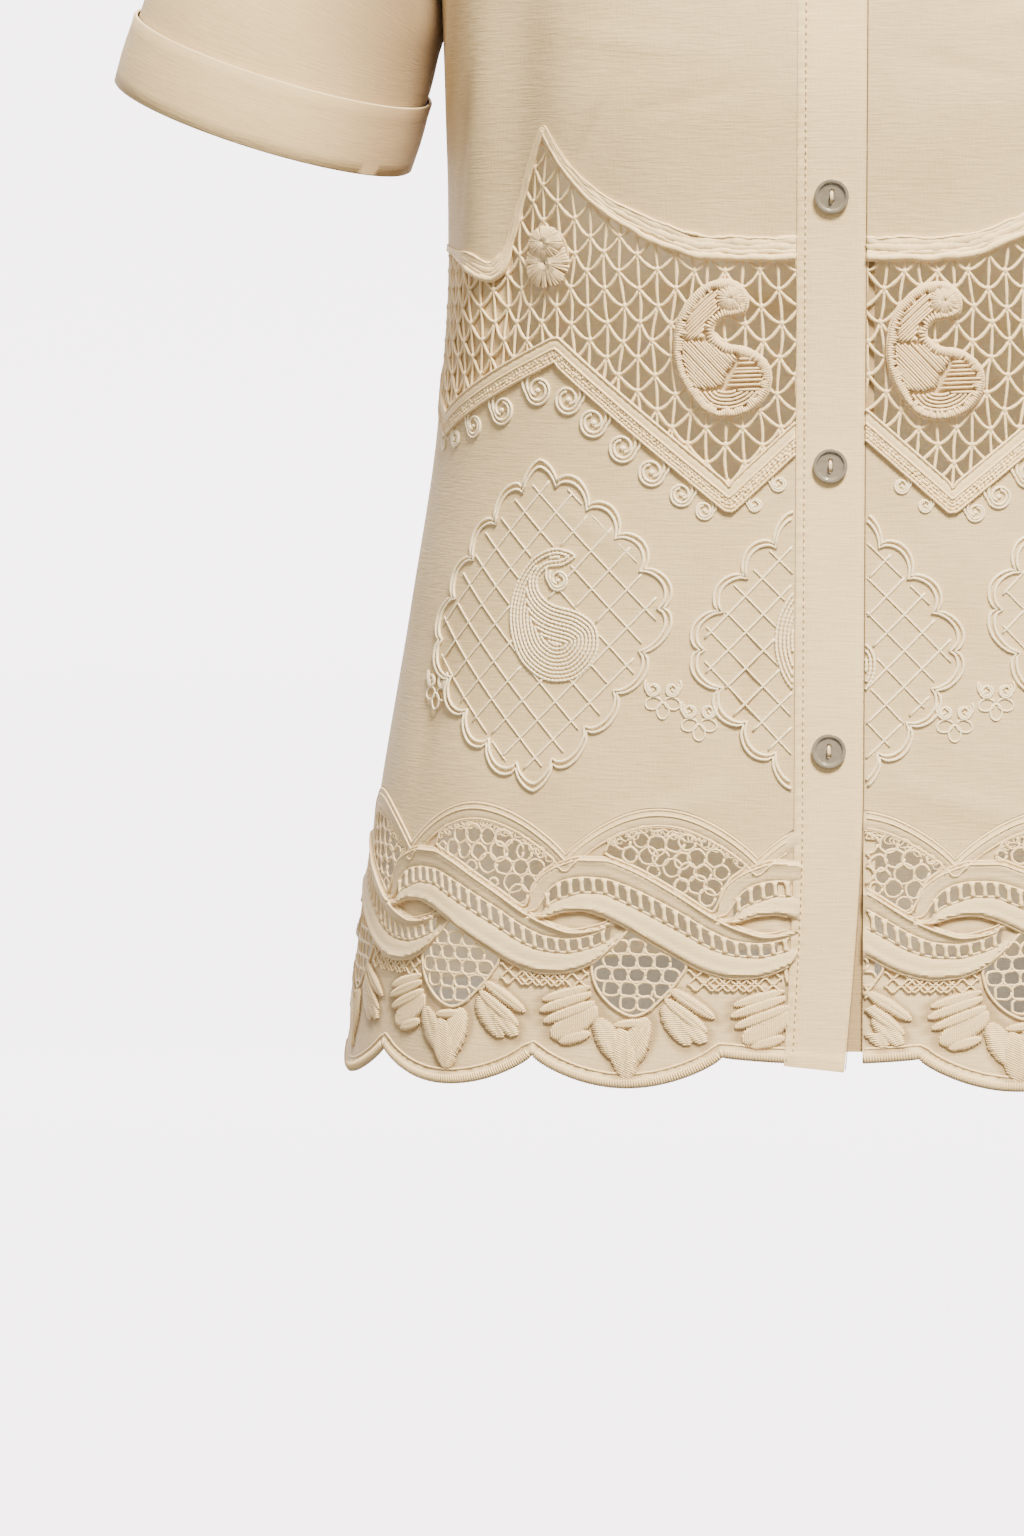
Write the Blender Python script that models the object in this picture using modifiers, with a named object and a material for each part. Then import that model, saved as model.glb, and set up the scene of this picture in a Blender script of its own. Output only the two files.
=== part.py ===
"""Lace shirt, worn hollow: metres, +Z up, the front faces -Y, origin level with the shoulder tops.

Each panel is drawn flat, as a maker cuts it, with u the distance round the body from the
centre line and z the height, and is then laid on the garment's sections and given its thickness.
"""
import math

import bpy
import bmesh
import numpy as np
from mathutils import Matrix, Vector, geometry

# Driving sizes
WALL = 0.0015            # cloth and lace
SEAM = 0.0003            # gap between pieces that are sewn edge to edge
LAY = 0.0006             # gap under a piece that lies flat on another
BAND_LAY = 0.0009        # gap under the bands and pads, which cross the panels' facets
APPLIQUE = 0.0014        # cords, bands and pads laid on the panels
PLACKET_HALF = 0.0146
PLACKET_WALL = 0.0021
PLACKET_TOP = -0.0850
BUTTON_RADIUS = 0.0073
BUTTON_THICK = 0.0026
BUTTON_HEIGHTS = (-0.2100, -0.3273, -0.4416, -0.5628)
COLLAR_BUTTON_RISE = 0.45    # share of the collar stand's height
CUFF_HEIGHT = 0.0315
SLEEVE_SIDES = 26
COLLAR_STAND = 0.030
NECK_LIFT = 0.0015       # the collar stand's foot above the neck's edge
FALL_LIFT = 0.0010       # the fall above the stand's top
FACET = 0.0095           # length of a facet along a shaped edge
SECTION_POWER = 2.5      # squareness of the body's sections
UNDERARM = -0.2100
LEVELS = 220
STATIONS = 121

# height, half width, front depth, back depth
BODY = (
    (-0.745, 0.2205, 0.1480, 0.1380),
    (-0.687, 0.2150, 0.1430, 0.1330),
    (-0.597, 0.2030, 0.1370, 0.1250),
    (-0.507, 0.1880, 0.1300, 0.1150),
    (-0.423, 0.1757, 0.1250, 0.1050),
    (-0.347, 0.1712, 0.1270, 0.1020),
    (-0.280, 0.1725, 0.1320, 0.1080),
    (UNDERARM, 0.1745, 0.1280, 0.1140),
)
# level, then x, y, z at the centre line or neck, x, y, z at the armhole, and the arc between them
FRONT_YOKE = (
    (-0.178, 0.0000, -0.1225, -0.180, 0.1735, -0.028, -0.195, 80),
    (-0.146, 0.0000, -0.1130, -0.150, 0.1675, -0.047, -0.170, 70),
    (-0.115, 0.0000, -0.1000, -0.122, 0.1630, -0.055, -0.140, 62),
    (-0.085, 0.0000, -0.0860, -0.100, 0.1630, -0.054, -0.110, 55),
    (-0.077, 0.0140, -0.0855, -0.0985, 0.1636, -0.0520, -0.103, 53),
    (-0.058, 0.0360, -0.0790, -0.089, 0.1680, -0.045, -0.085, 48),
    (-0.029, 0.0600, -0.0580, -0.062, 0.1770, -0.030, -0.062, 40),
    (-0.005, 0.0710, -0.0280, -0.020, 0.1855, -0.014, -0.049, 30),
    (0.010, 0.0738, -0.0060, -0.0012, 0.1898, 0.000, -0.0452, 20),
    (0.016, 0.0740, 0.0020, 0.000, 0.1900, 0.003, -0.045, 20),
)
BACK_YOKE = (
    (-0.178, 0.0000, 0.1175, -0.180, 0.1735, 0.034, -0.195, 80),
    (-0.146, 0.0000, 0.1170, -0.146, 0.1695, 0.052, -0.170, 70),
    (-0.115, 0.0000, 0.1120, -0.112, 0.1670, 0.060, -0.140, 62),
    (-0.085, 0.0000, 0.1010, -0.078, 0.1670, 0.060, -0.110, 55),
    (-0.058, 0.0000, 0.0830, -0.046, 0.1710, 0.051, -0.085, 48),
    (-0.029, 0.0000, 0.0560, -0.022, 0.1785, 0.036, -0.062, 40),
    (-0.022, 0.0180, 0.0548, -0.0208, 0.1808, 0.0315, -0.058, 37),
    (-0.014, 0.0380, 0.0490, -0.0168, 0.1835, 0.0260, -0.0535, 34),
    (-0.005, 0.0570, 0.0360, -0.0095, 0.1862, 0.0200, -0.0490, 30),
    (0.010, 0.0725, 0.0130, -0.0012, 0.1898, 0.009, -0.0452, 20),
    (0.016, 0.0740, 0.0027, 0.000, 0.1900, 0.0037, -0.045, 20),
)
# side (-1 viewer's left, 1 right), u and z at the top, u and z at the foot, half width, height
FRONT_FOLDS = (
    (-1, 0.138, -0.215, 0.150, -0.385, 0.017, -0.0040),
    (-1, 0.168, -0.230, 0.176, -0.400, 0.016, 0.0030),
    (1, 0.144, -0.215, 0.154, -0.370, 0.018, -0.0040),
    (1, 0.174, -0.235, 0.180, -0.390, 0.016, 0.0028),
    (-1, 0.150, -0.560, 0.182, -0.745, 0.020, 0.0030),
    (1, 0.156, -0.570, 0.190, -0.745, 0.020, 0.0030),
)
BACK_FOLDS = (
    (-1, 0.070, -0.160, 0.082, -0.520, 0.022, -0.0045),
    (-1, 0.120, -0.220, 0.128, -0.600, 0.022, 0.0040),
    (1, 0.064, -0.180, 0.074, -0.540, 0.022, -0.0045),
    (1, 0.114, -0.210, 0.124, -0.620, 0.022, 0.0040),
    (-1, 0.020, -0.420, 0.028, -0.720, 0.020, 0.0035),
    (1, 0.032, -0.460, 0.040, -0.720, 0.020, -0.0030),
)
# u and z along the top of the lattice; a corner is sharp
YOKE_EDGE = (
    (0.0000, -0.3490, False),
    (0.0340, -0.3495, False),
    (0.0550, -0.3485, False),
    (0.0771, -0.3414, False),
    (0.1005, -0.3287, False),
    (0.1198, -0.3109, False),
    (0.1300, -0.2975, True),
    (0.1370, -0.3109, False),
    (0.1438, -0.3287, False),
    (0.1530, -0.3530, False),
    (0.1600, -0.3590, False),
    (0.1769, -0.3541, False),
    (0.2100, -0.3490, False),
    (0.2700, -0.3460, False),
)
# u and z along the middle of the chevron band, for each front
CHEVRON = {
    -1: (
        (0.0000, -0.4160, True),
        (0.0430, -0.4562, True),
        (0.1215, -0.3925, True),
        (0.1985, -0.4262, True),
        (0.2700, -0.3950, True),
    ),
    1: (
        (0.0000, -0.4110, True),
        (0.0520, -0.4565, True),
        (0.1300, -0.3925, True),
        (0.2070, -0.4262, True),
        (0.2750, -0.3960, True),
    ),
}
CHEVRON_HALF = 0.0056
YOKE_CORD_HALF = 0.0048
# The hem lace runs on past the centre, so its repeats are counted in signed u
REPEAT = 0.0840
HILL_CUSP = -0.0300      # a low point of the lace's top edge
HILL_LOW = -0.6080
HILL_RISE = 0.0205
NOTCH = -0.0450          # a notch of the scalloped edge
NOTCH_HEIGHT = -0.6935
SCALLOP_DROP = 0.0135
FLAT_DROP = 0.0025       # the scallop at the placket is nearly straight
SIDE_DIP = 0.0100        # how much lower the hem hangs at the side seams
BACK_HEM = -0.6830
BACK_SIDE_DROP = 0.0230  # how much lower it hangs at the side seams
BACK_NECK = -0.0290      # level of the back neck at the centre
# height below the hill's edge, first hole's place in the repeat, holes in the row
LENS_ROWS = (
    (0.0108, 0.0270, 5),
    (0.0172, 0.0228, 6),
    (0.0236, 0.0410, 3),
)
LENS_PITCH = 0.0076
LENS_RADIUS = 0.0027
FAN_MIDDLE = -0.0820
# height of a row of square holes, and how many it has
FAN_ROWS = ((-0.6475, 3), (-0.6535, 4), (-0.6595, 5), (-0.6655, 4), (-0.6715, 3))
FAN_PITCH = 0.0074
FAN_HOLE = (0.0060, 0.0046)
# u, z, half width, half height, for the middle of each pad on the lattice
DAISY = (0.1262, -0.3515, 0.0105, 0.0130)
PAISLEY_MIDDLES = {-1: (-0.0463, -0.3920), 1: (0.0440, -0.3930)}
# outline of the drop shape, knob at the top right: across, up
PAISLEY = (
    (-0.0200, 0.0020), (-0.0170, 0.0160), (-0.0075, 0.0265), (0.0035, 0.0290), (0.0100, 0.0235),
    (FACET, 0.0160), (-0.0010, 0.0130), (-0.0040, 0.0070), (0.0010, 0.0020), (0.0110, 0.0000),
    (0.0190, -0.0060), (0.0205, -0.0150), (0.0150, -0.0240), (0.0050, -0.0285), (-0.0060, -0.0270),
    (-0.0135, -0.0190), (-0.0185, -0.0090),
)
# centre of the cuff's lower edge, half width, half depth, tilt from upright and forward, in degrees
CUFF = (0.2548, -0.0050, -0.2930, 0.0698, 0.0610, 17.4, 11.0)
LINEN = (0.80, 0.70, 0.57, 1.0)
LACE = (0.82, 0.73, 0.61, 1.0)
PEARL = (0.42, 0.40, 0.37, 1.0)


def clear_scene():
    for thing in list(bpy.data.objects):
        bpy.data.objects.remove(thing, do_unlink=True)


def new_collection(name):
    group = bpy.data.collections.new(name)
    bpy.context.scene.collection.children.link(group)
    return group


def new_material(name, colour, roughness):
    material = bpy.data.materials.new(name)
    material.use_nodes = True
    shader = material.node_tree.nodes["Principled BSDF"]
    shader.inputs["Base Color"].default_value = colour
    shader.inputs["Roughness"].default_value = roughness
    shader.inputs["Metallic"].default_value = 0.0
    material.diffuse_color = colour
    return material


def smooth_curve(xs, ys, x):
    """Curve through a table's values that never overshoots them."""
    xs, ys = np.asarray(xs, float), np.asarray(ys, float)
    step = np.diff(xs)
    slope = np.diff(ys) / step
    bend = np.zeros_like(xs)
    bend[0], bend[-1] = slope[0], slope[-1]
    for i in range(1, len(xs) - 1):
        if slope[i - 1] * slope[i] > 0:
            before, after = 2 * step[i] + step[i - 1], step[i] + 2 * step[i - 1]
            bend[i] = (before + after) / (before / slope[i - 1] + after / slope[i])
    i = np.clip(np.searchsorted(xs, x, side="right") - 1, 0, len(xs) - 2)
    t = (x - xs[i]) / step[i]
    rise = 3 * t ** 2 - 2 * t ** 3
    return (ys[i] + rise * (ys[i + 1] - ys[i])
            + (t ** 3 - 2 * t ** 2 + t) * step[i] * bend[i]
            + (t ** 3 - t ** 2) * step[i] * bend[i + 1])


def edge_curve(table):
    """Height of an edge at any u, smooth between its sharp corners."""
    us = [row[0] for row in table]
    zs = [row[1] for row in table]
    breaks = [0] + [i for i, row in enumerate(table) if row[2] and 0 < i < len(table) - 1]
    breaks.append(len(table) - 1)

    def height(u):
        u = np.abs(np.asarray(u, float))
        out = np.zeros_like(u)
        for first, last in zip(breaks[:-1], breaks[1:]):
            part = (u >= us[first]) & (u <= us[last] + 1e-9)
            span = slice(first, last + 1)
            if last - first == 1:
                out[part] = np.interp(u[part], us[span], zs[span])
            else:
                out[part] = smooth_curve(us[span], zs[span], u[part])
        return out

    return height


class Surface:
    """Outer face of the cloth: half sections stacked up the body, mirrored at the centre."""

    def __init__(self, yoke, folds, facing):
        depth_column = 2 if facing < 0 else 3
        rows = [(row[0], 0, facing * row[depth_column], row[0], row[1], 0, row[0], 90)
                for row in BODY]
        rows = np.array(rows + list(yoke))
        self.facing = facing
        self.folds = folds
        self.levels = np.linspace(rows[0, 0], rows[-1, 0], LEVELS)
        columns = [smooth_curve(rows[:, 0], rows[:, k], self.levels) for k in range(1, 8)]
        self.grid = np.zeros((LEVELS, STATIONS, 3))
        self.starts = columns[0]
        self.girths = np.zeros(LEVELS)
        along = np.linspace(0, 1, 4 * STATIONS)
        for i in range(LEVELS):
            x_in, y_in, z_in, x_out, y_out, z_out, sweep = [column[i] for column in columns]
            across, forward = self.quarter(along * math.radians(sweep))
            across, forward = across / across[-1], (1 - forward) / (1 - forward[-1])
            ring = np.stack([x_in + (x_out - x_in) * across, y_in + (y_out - y_in) * forward,
                             z_in + (z_out - z_in) * across], axis=1)
            length = np.linalg.norm(np.diff(ring, axis=0), axis=1)
            arc = np.concatenate([[0], np.cumsum(length)])
            self.girths[i] = x_in + arc[-1]
            at = np.linspace(0, arc[-1], STATIONS)
            for k in range(3):
                self.grid[i, :, k] = np.interp(at, arc, ring[:, k])
        up = np.gradient(self.grid, axis=0)
        around = np.gradient(self.grid, axis=1)
        normal = np.cross(around, up) * -facing
        normal[self.levels < PLACKET_TOP, 0, 0] = 0
        self.normals = normal / np.linalg.norm(normal, axis=2, keepdims=True)

    @staticmethod
    def quarter(angle):
        across, forward = np.sin(angle), np.cos(angle)
        size = (np.abs(across) ** SECTION_POWER + np.abs(forward) ** SECTION_POWER)
        size = size ** (1 / SECTION_POWER)
        return across / size, forward / size

    def start(self, level):
        """Distance from the centre line to the neck's edge, nothing below the neck."""
        return np.interp(level, self.levels, self.starts)

    def girth(self, level):
        """Distance from the centre line to the side seam or armhole."""
        return np.interp(level, self.levels, self.girths)

    def fold(self, u, level):
        lift = np.zeros_like(u)
        for side, u_top, z_top, u_foot, z_foot, half, height in self.folds:
            along = np.clip((level - z_top) / (z_foot - z_top), 0, 1)
            across = (u * side - (u_top + (u_foot - u_top) * along)) / half
            lift += height * np.exp(-across ** 2) * np.sin(math.pi * along) ** 0.7
        return lift

    def at(self, u, level, lift=0.0):
        """Points at signed u and level, lifted off the outer face."""
        u, level = np.asarray(u, float), np.asarray(level, float)
        row = np.interp(level, self.levels, np.arange(LEVELS))
        start = self.start(level)
        share = (np.abs(u) - start) / (self.girth(level) - start)
        column = np.clip(share, 0, 1) * (STATIONS - 1)
        i = np.minimum(row.astype(int), LEVELS - 2)
        j = np.minimum(column.astype(int), STATIONS - 2)
        a, b = (row - i)[..., None], (column - j)[..., None]

        def mixed(field):
            low = field[i, j] * (1 - b) + field[i, j + 1] * b
            high = field[i + 1, j] * (1 - b) + field[i + 1, j + 1] * b
            return low * (1 - a) + high * a

        height = lift + self.fold(u, level)
        points = mixed(self.grid) + mixed(self.normals) * height[..., None]
        points[..., 0] *= np.where(u < 0, -1.0, 1.0)
        return points


def inside(polygon, points):
    """Which points lie inside a closed outline."""
    hit = np.zeros(len(points), bool)
    ends = np.roll(polygon, -1, axis=0)
    for (x0, y0), (x1, y1) in zip(polygon, ends):
        crosses = (y0 > points[:, 1]) != (y1 > points[:, 1])
        if y0 != y1:
            hit ^= crosses & (points[:, 0] < x0 + (points[:, 1] - y0) * (x1 - x0) / (y1 - y0))
    return hit


def clearance(polygon, points):
    """Distance from each point to the nearest side of an outline."""
    best = np.full(len(points), np.inf)
    for start, end in zip(polygon, np.roll(polygon, -1, axis=0)):
        run = end - start
        t = np.clip(((points - start) @ run) / max(run @ run, 1e-12), 0, 1)
        best = np.minimum(best, np.linalg.norm(points - start - t[:, None] * run, axis=1))
    return best


def flat_mesh(outline, holes, filling, margin):
    """Triangles over a flat pattern piece, with its holes left out."""
    outline = np.asarray(outline, float)
    holes = [np.asarray(hole, float) for hole in holes]
    filling = np.asarray(filling, float).reshape(-1, 2)
    keep = inside(outline, filling) & (clearance(outline, filling) > margin)
    for hole in holes:
        keep &= ~inside(hole, filling) & (clearance(hole, filling) > margin * 0.6)
    loops = [outline] + holes
    points = np.concatenate(loops + [filling[keep]])
    edges, start = [], 0
    for loop in loops:
        count = len(loop)
        edges += [(start + k, start + (k + 1) % count) for k in range(count)]
        start += count
    flat = [Vector(point) for point in (points * 1000).tolist()]
    result = geometry.delaunay_2d_cdt(flat, edges, [], 1, 1e-4)
    points = np.array([list(point) for point in result[0]]) / 1000
    faces = result[2]
    middles = np.array([points[list(face)].mean(axis=0) for face in faces])
    solid = inside(outline, middles)
    for hole in holes:
        solid &= ~inside(hole, middles)
    return points, [face for face, kept in zip(faces, solid) if kept]


def add_object(name, mesh, material, group):
    mesh.materials.append(material)
    thing = bpy.data.objects.new(name, mesh)
    group.objects.link(thing)
    return thing


def thicken(thing, wall, outward=1.0):
    solid = thing.modifiers.new("Wall", "SOLIDIFY")
    solid.thickness = wall
    solid.offset = outward
    solid.use_even_offset = False
    return solid


def cloth(name, surface, outline, group, material, holes=(), grid=(17, 26), margin=0.004,
          lift=-WALL, wall=WALL):
    """A pattern piece laid on the body and given its thickness outwards."""
    outline = np.asarray(outline, float)
    low, high = outline.min(axis=0), outline.max(axis=0)
    shares = np.linspace(-1, 1, 2 * grid[0] + 1)
    filling = [(share * surface.girth(level), level)
               for level in np.linspace(low[1], high[1], grid[1] + 2)[1:-1] for share in shares]
    points, faces = flat_mesh(outline, holes, filling, margin)
    if surface.facing > 0:
        faces = [tuple(reversed(face)) for face in faces]
    placed = surface.at(points[:, 0], points[:, 1], lift)
    mesh = bpy.data.meshes.new(name)
    mesh.from_pydata(placed.tolist(), [], [tuple(face) for face in faces])
    thing = add_object(name, mesh, material, group)
    thicken(thing, wall)
    return thing


def run(start, end, step):
    """Even stations from start to end, both ends included."""
    count = max(1, int(round(abs(end - start) / step)))
    return np.linspace(start, end, count + 1)


def with_corners(stations, corners):
    """Stations that also stop at each corner, without crowding it."""
    low, high = min(stations[0], stations[-1]), max(stations[0], stations[-1])
    inner = [corner for corner in corners if low + 1e-6 < corner < high - 1e-6]
    step = abs(stations[1] - stations[0])
    kept = [s for s in stations[1:-1] if all(abs(s - corner) > 0.4 * step for corner in inner)]
    order = sorted([stations[0], stations[-1]] + kept + inner)
    return np.array(order if stations[0] < stations[-1] else order[::-1])


def side_points(surface, side, z_from, z_to, step=0.020):
    """Points down or up a side seam, half a seam gap inside it."""
    levels = run(z_from, z_to, step)
    return [(side * (surface.girth(level) - SEAM / 2), level) for level in levels]


def seam_height(surface, side, height):
    """Height at which an edge meets the side seam."""
    level = -0.5
    for _ in range(20):
        level = float(height(side * surface.girth(level)))
    return level


def hill_edge(u):
    """Top edge of the hem lace, a hill between each pair of cusps."""
    phase = np.mod((np.asarray(u, float) - HILL_CUSP) / REPEAT, 1.0)
    return HILL_LOW + HILL_RISE * np.sin(math.pi * phase) ** 0.85


def scallop_edge(u):
    """Lower edge of the hem lace, a scallop between each pair of notches."""
    u = np.asarray(u, float)
    phase = np.mod((u - NOTCH) / REPEAT, 1.0)
    dip = SIDE_DIP * np.clip(np.abs(u) / 0.29, 0, 1) ** 2
    behind_placket = (u > NOTCH) & (u < NOTCH + REPEAT)
    drop = np.where(behind_placket, FLAT_DROP, SCALLOP_DROP)
    return NOTCH_HEIGHT - dip - drop * np.sin(math.pi * phase) ** 0.75


def repeats(first, side):
    """Where a feature of each repeat falls on one front."""
    places = [first + REPEAT * k for k in range(-4, 5)]
    return [place for place in places if place * side > 0]


def placket_left(level):
    """Left edge of the placket, which swings a little to the left at the hem."""
    return -PLACKET_HALF - 0.0042 * np.clip((-0.60 - np.asarray(level)) / 0.10, 0, 1) ** 1.5


def placket_right(level):
    return PLACKET_HALF - 0.0075 * np.clip((-0.58 - np.asarray(level)) / 0.12, 0, 1) ** 1.5


def front_edge(side, level):
    """Where a front meets the placket."""
    if side < 0:
        return placket_left(level) - SEAM
    return PLACKET_HALF + SEAM + 0 * np.asarray(level)


def edge_points(surface, side, height, gap, step, corners):
    """An edge across one front, from the side seam to the placket, moved square to itself."""
    level = seam_height(surface, side, height)
    far = side * (surface.girth(level) - SEAM / 2)
    near = float(front_edge(side, height(side * PLACKET_HALF)))
    stations = with_corners(run(far, near, step), corners)
    probe = 0.001
    points = []
    for u in stations:
        here = float(height(u))
        slopes = [abs(float(height(u + way)) - here) / probe for way in (-probe, probe)]
        points.append((u, here + gap * math.hypot(1, max(slopes))))
    return points


def front_piece(name, surface, side, top, foot, step, group, material, holes=(), **options):
    """One front between an edge above and an edge below."""
    upper = edge_points(surface, side, top[0], -SEAM / 2, step, top[1])
    lower = edge_points(surface, side, foot[0], foot[2], step, foot[1])
    inner = run(lower[-1][1], upper[-1][1], 0.030)[1:-1]
    outline = lower + [(float(front_edge(side, level)), level) for level in inner]
    outline = outline + upper[::-1]
    outline = outline + side_points(surface, side, upper[0][1], lower[0][1])[1:-1]
    return cloth(name, surface, outline, group, material, holes=holes, **options)


def strip_outline(surface, side, height, half, step, corners):
    """Outline of a band of even width along an edge."""
    level = seam_height(surface, side, height)
    far = side * (surface.girth(level) - SEAM / 2)
    near = float(front_edge(side, height(side * PLACKET_HALF))) + side * SEAM
    stations = with_corners(run(far, near, step), corners)
    middle = np.array([(u, float(height(u))) for u in stations])
    way = np.diff(middle, axis=0)
    way /= np.linalg.norm(way, axis=1, keepdims=True)
    before, after = np.vstack([way[:1], way]), np.vstack([way, way[-1:]])
    mean = before + after
    mean /= np.linalg.norm(mean, axis=1, keepdims=True)
    across = np.stack([-mean[:, 1], mean[:, 0]], axis=1)
    widen = 1 / np.maximum((before * mean).sum(axis=1), 0.6)
    across[[0, -1]] = (0, side * -1.0)
    widen[[0, -1]] = 1 / np.abs(way[[0, -1], 0])
    shift = across * (half * widen)[:, None]
    return np.concatenate([middle + shift, (middle - shift)[::-1]]).tolist()


def ring_hole(u, z, radius, sides=6):
    return [(u + radius * math.cos(2 * math.pi * k / sides),
             z + radius * math.sin(2 * math.pi * k / sides)) for k in range(sides)]


def block_hole(u, z, size):
    half_u, half_z = size[0] / 2, size[1] / 2
    return [(u - half_u, z - half_z), (u + half_u, z - half_z),
            (u + half_u, z + half_z), (u - half_u, z + half_z)]


def lace_holes(outline):
    """The gaps of the hem lace: a lens net under each hill and a fan net over each scallop."""
    holes = []
    for cusp in [HILL_CUSP + REPEAT * k for k in range(-5, 5)]:
        for below, first, count in LENS_ROWS:
            for k in range(count):
                u = cusp + first + LENS_PITCH * k
                holes.append(ring_hole(u, float(hill_edge(u)) - below, LENS_RADIUS))
    for middle in [FAN_MIDDLE + REPEAT * k for k in range(-4, 6)]:
        for z, count in FAN_ROWS:
            for k in range(count):
                u = middle + FAN_PITCH * (k - (count - 1) / 2)
                holes.append(block_hole(u, z, FAN_HOLE))
    kept = []
    shape = np.asarray(outline)
    for hole in holes:
        corners = np.asarray(hole)
        if inside(shape, corners).all() and clearance(shape, corners).min() > 0.0025:
            kept.append(hole)
    return kept


def front_upper(surface, side, group, material):
    """Plain linen from the lattice's edge to the neck, shoulder and armhole."""
    height = edge_curve(YOKE_EDGE)
    corners = [side * row[0] for row in YOKE_EDGE if row[2]]
    lower = edge_points(surface, side, height, SEAM / 2, FACET, corners)
    near = float(front_edge(side, PLACKET_TOP))
    top = surface.levels[-1]
    above = surface.levels > PLACKET_TOP
    neck_foot = np.interp(abs(near), surface.starts[above], surface.levels[above])
    neck = [(side * surface.start(level), level) for level in run(neck_foot, top, 0.011)]
    inner = [(near, level) for level in run(lower[-1][1], neck_foot, 0.030)[1:-1]]
    seam = [(side * u, top) for u in run(surface.start(top), surface.girth(top), 0.015)[1:-1]]
    arm = side_points(surface, side, top, UNDERARM, 0.013)
    down = side_points(surface, side, UNDERARM, lower[0][1])[1:-1]
    outline = lower + inner + neck + seam + arm + down
    return cloth("front_upper_" + SIDES[side], surface, outline, group, material, grid=(12, 10),
                 margin=0.0055)


def back_panel(surface, group, material):
    """The whole back in one piece, with a straight hem."""
    top = surface.levels[-1]
    hem = BACK_HEM - BACK_SIDE_DROP
    arm = side_points(surface, 1, UNDERARM, top, 0.013)
    seam = [(u, top) for u in run(surface.girth(top), surface.start(top), 0.015)[1:-1]]
    neck = [(surface.start(level), level) for level in run(top, BACK_NECK, 0.006)]
    right = side_points(surface, 1, hem, UNDERARM)[:-1] + arm + seam + neck[:-1]
    left = [(-u, level) for u, level in right][::-1]
    girth = surface.girth(hem)
    lower = [(u, BACK_HEM + (hem - BACK_HEM) * (u / girth) ** 2)
             for u in run(-girth, girth, 0.020)[1:-1]]
    outline = lower + right + [(0.0, BACK_NECK)] + left
    return cloth("back", surface, outline, group, material, grid=(11, 14), margin=0.007)


SIDES = {-1: "L", 1: "R"}


def build_fronts(surface, group, linen, lace):
    yoke = edge_curve(YOKE_EDGE)
    for side, letter in SIDES.items():
        yoke_corners = [side * row[0] for row in YOKE_EDGE if row[2]]
        table = CHEVRON[side]
        band = edge_curve(table)
        band_corners = [side * row[0] for row in table]
        cusps = repeats(HILL_CUSP, side)
        notches = repeats(NOTCH, side)
        front_upper(surface, side, group, linen)
        front_piece("lattice_" + letter, surface, side, (yoke, yoke_corners),
                    (band, band_corners, SEAM / 2), FACET, group, lace, grid=(14, 4))
        front_piece("lower_panel_" + letter, surface, side, (band, band_corners),
                    (hill_edge, cusps, SEAM / 2), FACET, group, linen, grid=(14, 7))
        upper = edge_points(surface, side, hill_edge, -SEAM / 2, FACET, cusps)
        lower = edge_points(surface, side, scallop_edge, 0.0, FACET, notches)
        holes = lace_holes(lower + upper[::-1])
        front_piece("hem_lace_" + letter, surface, side, (hill_edge, cusps),
                    (scallop_edge, notches, 0.0), FACET, group, lace, holes=holes,
                    grid=(16, 4), margin=0.0050)
        outline = strip_outline(surface, side, band, CHEVRON_HALF, 0.0120, band_corners)
        cloth("chevron_band_" + letter, surface, outline, group, lace, grid=(1, 1),
              lift=BAND_LAY, wall=APPLIQUE)
        outline = strip_outline(surface, side, yoke, YOKE_CORD_HALF, 0.0090, yoke_corners)
        cloth("yoke_cord_" + letter, surface, outline, group, lace, grid=(1, 1),
              lift=BAND_LAY, wall=APPLIQUE)


def build_pads(surface, group, lace):
    """Applique on the lattice: a daisy and a paisley on each front."""
    for side, letter in SIDES.items():
        u, z, half_u, half_z = DAISY
        petals = [(side * u + half_u * math.cos(a) * (1 + 0.08 * math.cos(8 * a)),
                   z + half_z * math.sin(a) * (1 + 0.08 * math.cos(8 * a)))
                  for a in np.linspace(0, 2 * math.pi, 33)[:-1]]
        cloth("daisy_" + letter, surface, petals, group, lace, grid=(60, 3), margin=0.003,
              lift=BAND_LAY, wall=0.0020)
        middle_u, middle_z = PAISLEY_MIDDLES[side]
        drop = [(middle_u + across, middle_z + up) for across, up in PAISLEY][::-1]
        cloth("paisley_" + letter, surface, drop, group, lace, grid=(60, 6), margin=0.003,
              lift=BAND_LAY, wall=0.0024)


def build_plackets(surface, group, linen):
    foot_left, foot_right = -0.6905, -0.6985
    levels = run(foot_right, PLACKET_TOP, 0.038)
    left = [(float(placket_left(z)), z) for z in levels[::-1]][:-1]
    left.append((float(placket_left(foot_left)), foot_left))
    right = [(float(placket_right(z)), z) for z in levels]
    across = [(u, PLACKET_TOP) for u in run(PLACKET_HALF, -PLACKET_HALF, 0.007)[1:-1]]
    foot = [(left[-1][0] + (right[0][0] - left[-1][0]) * t,
             foot_left + (foot_right - foot_left) * t) for t in (0.33, 0.67)]
    cloth("placket", surface, right + across + left + foot, group, linen, grid=(25, 15),
          margin=0.004, lift=-WALL, wall=PLACKET_WALL)
    low, high, near, far = -0.6890, PLACKET_TOP - 0.004, -0.0125, 0.0185
    levels = run(low, high, 0.038)
    right = [(far, z) for z in levels]
    left = [(near, z) for z in levels[::-1]]
    across = [(u, high) for u in run(far, near, 0.008)[1:-1]]
    foot = [(u, low) for u in run(near, far, 0.008)[1:-1]]
    cloth("under_placket", surface, right + across + left + foot, group, linen, grid=(25, 15),
          margin=0.004, lift=-2 * WALL - LAY, wall=WALL)


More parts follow.
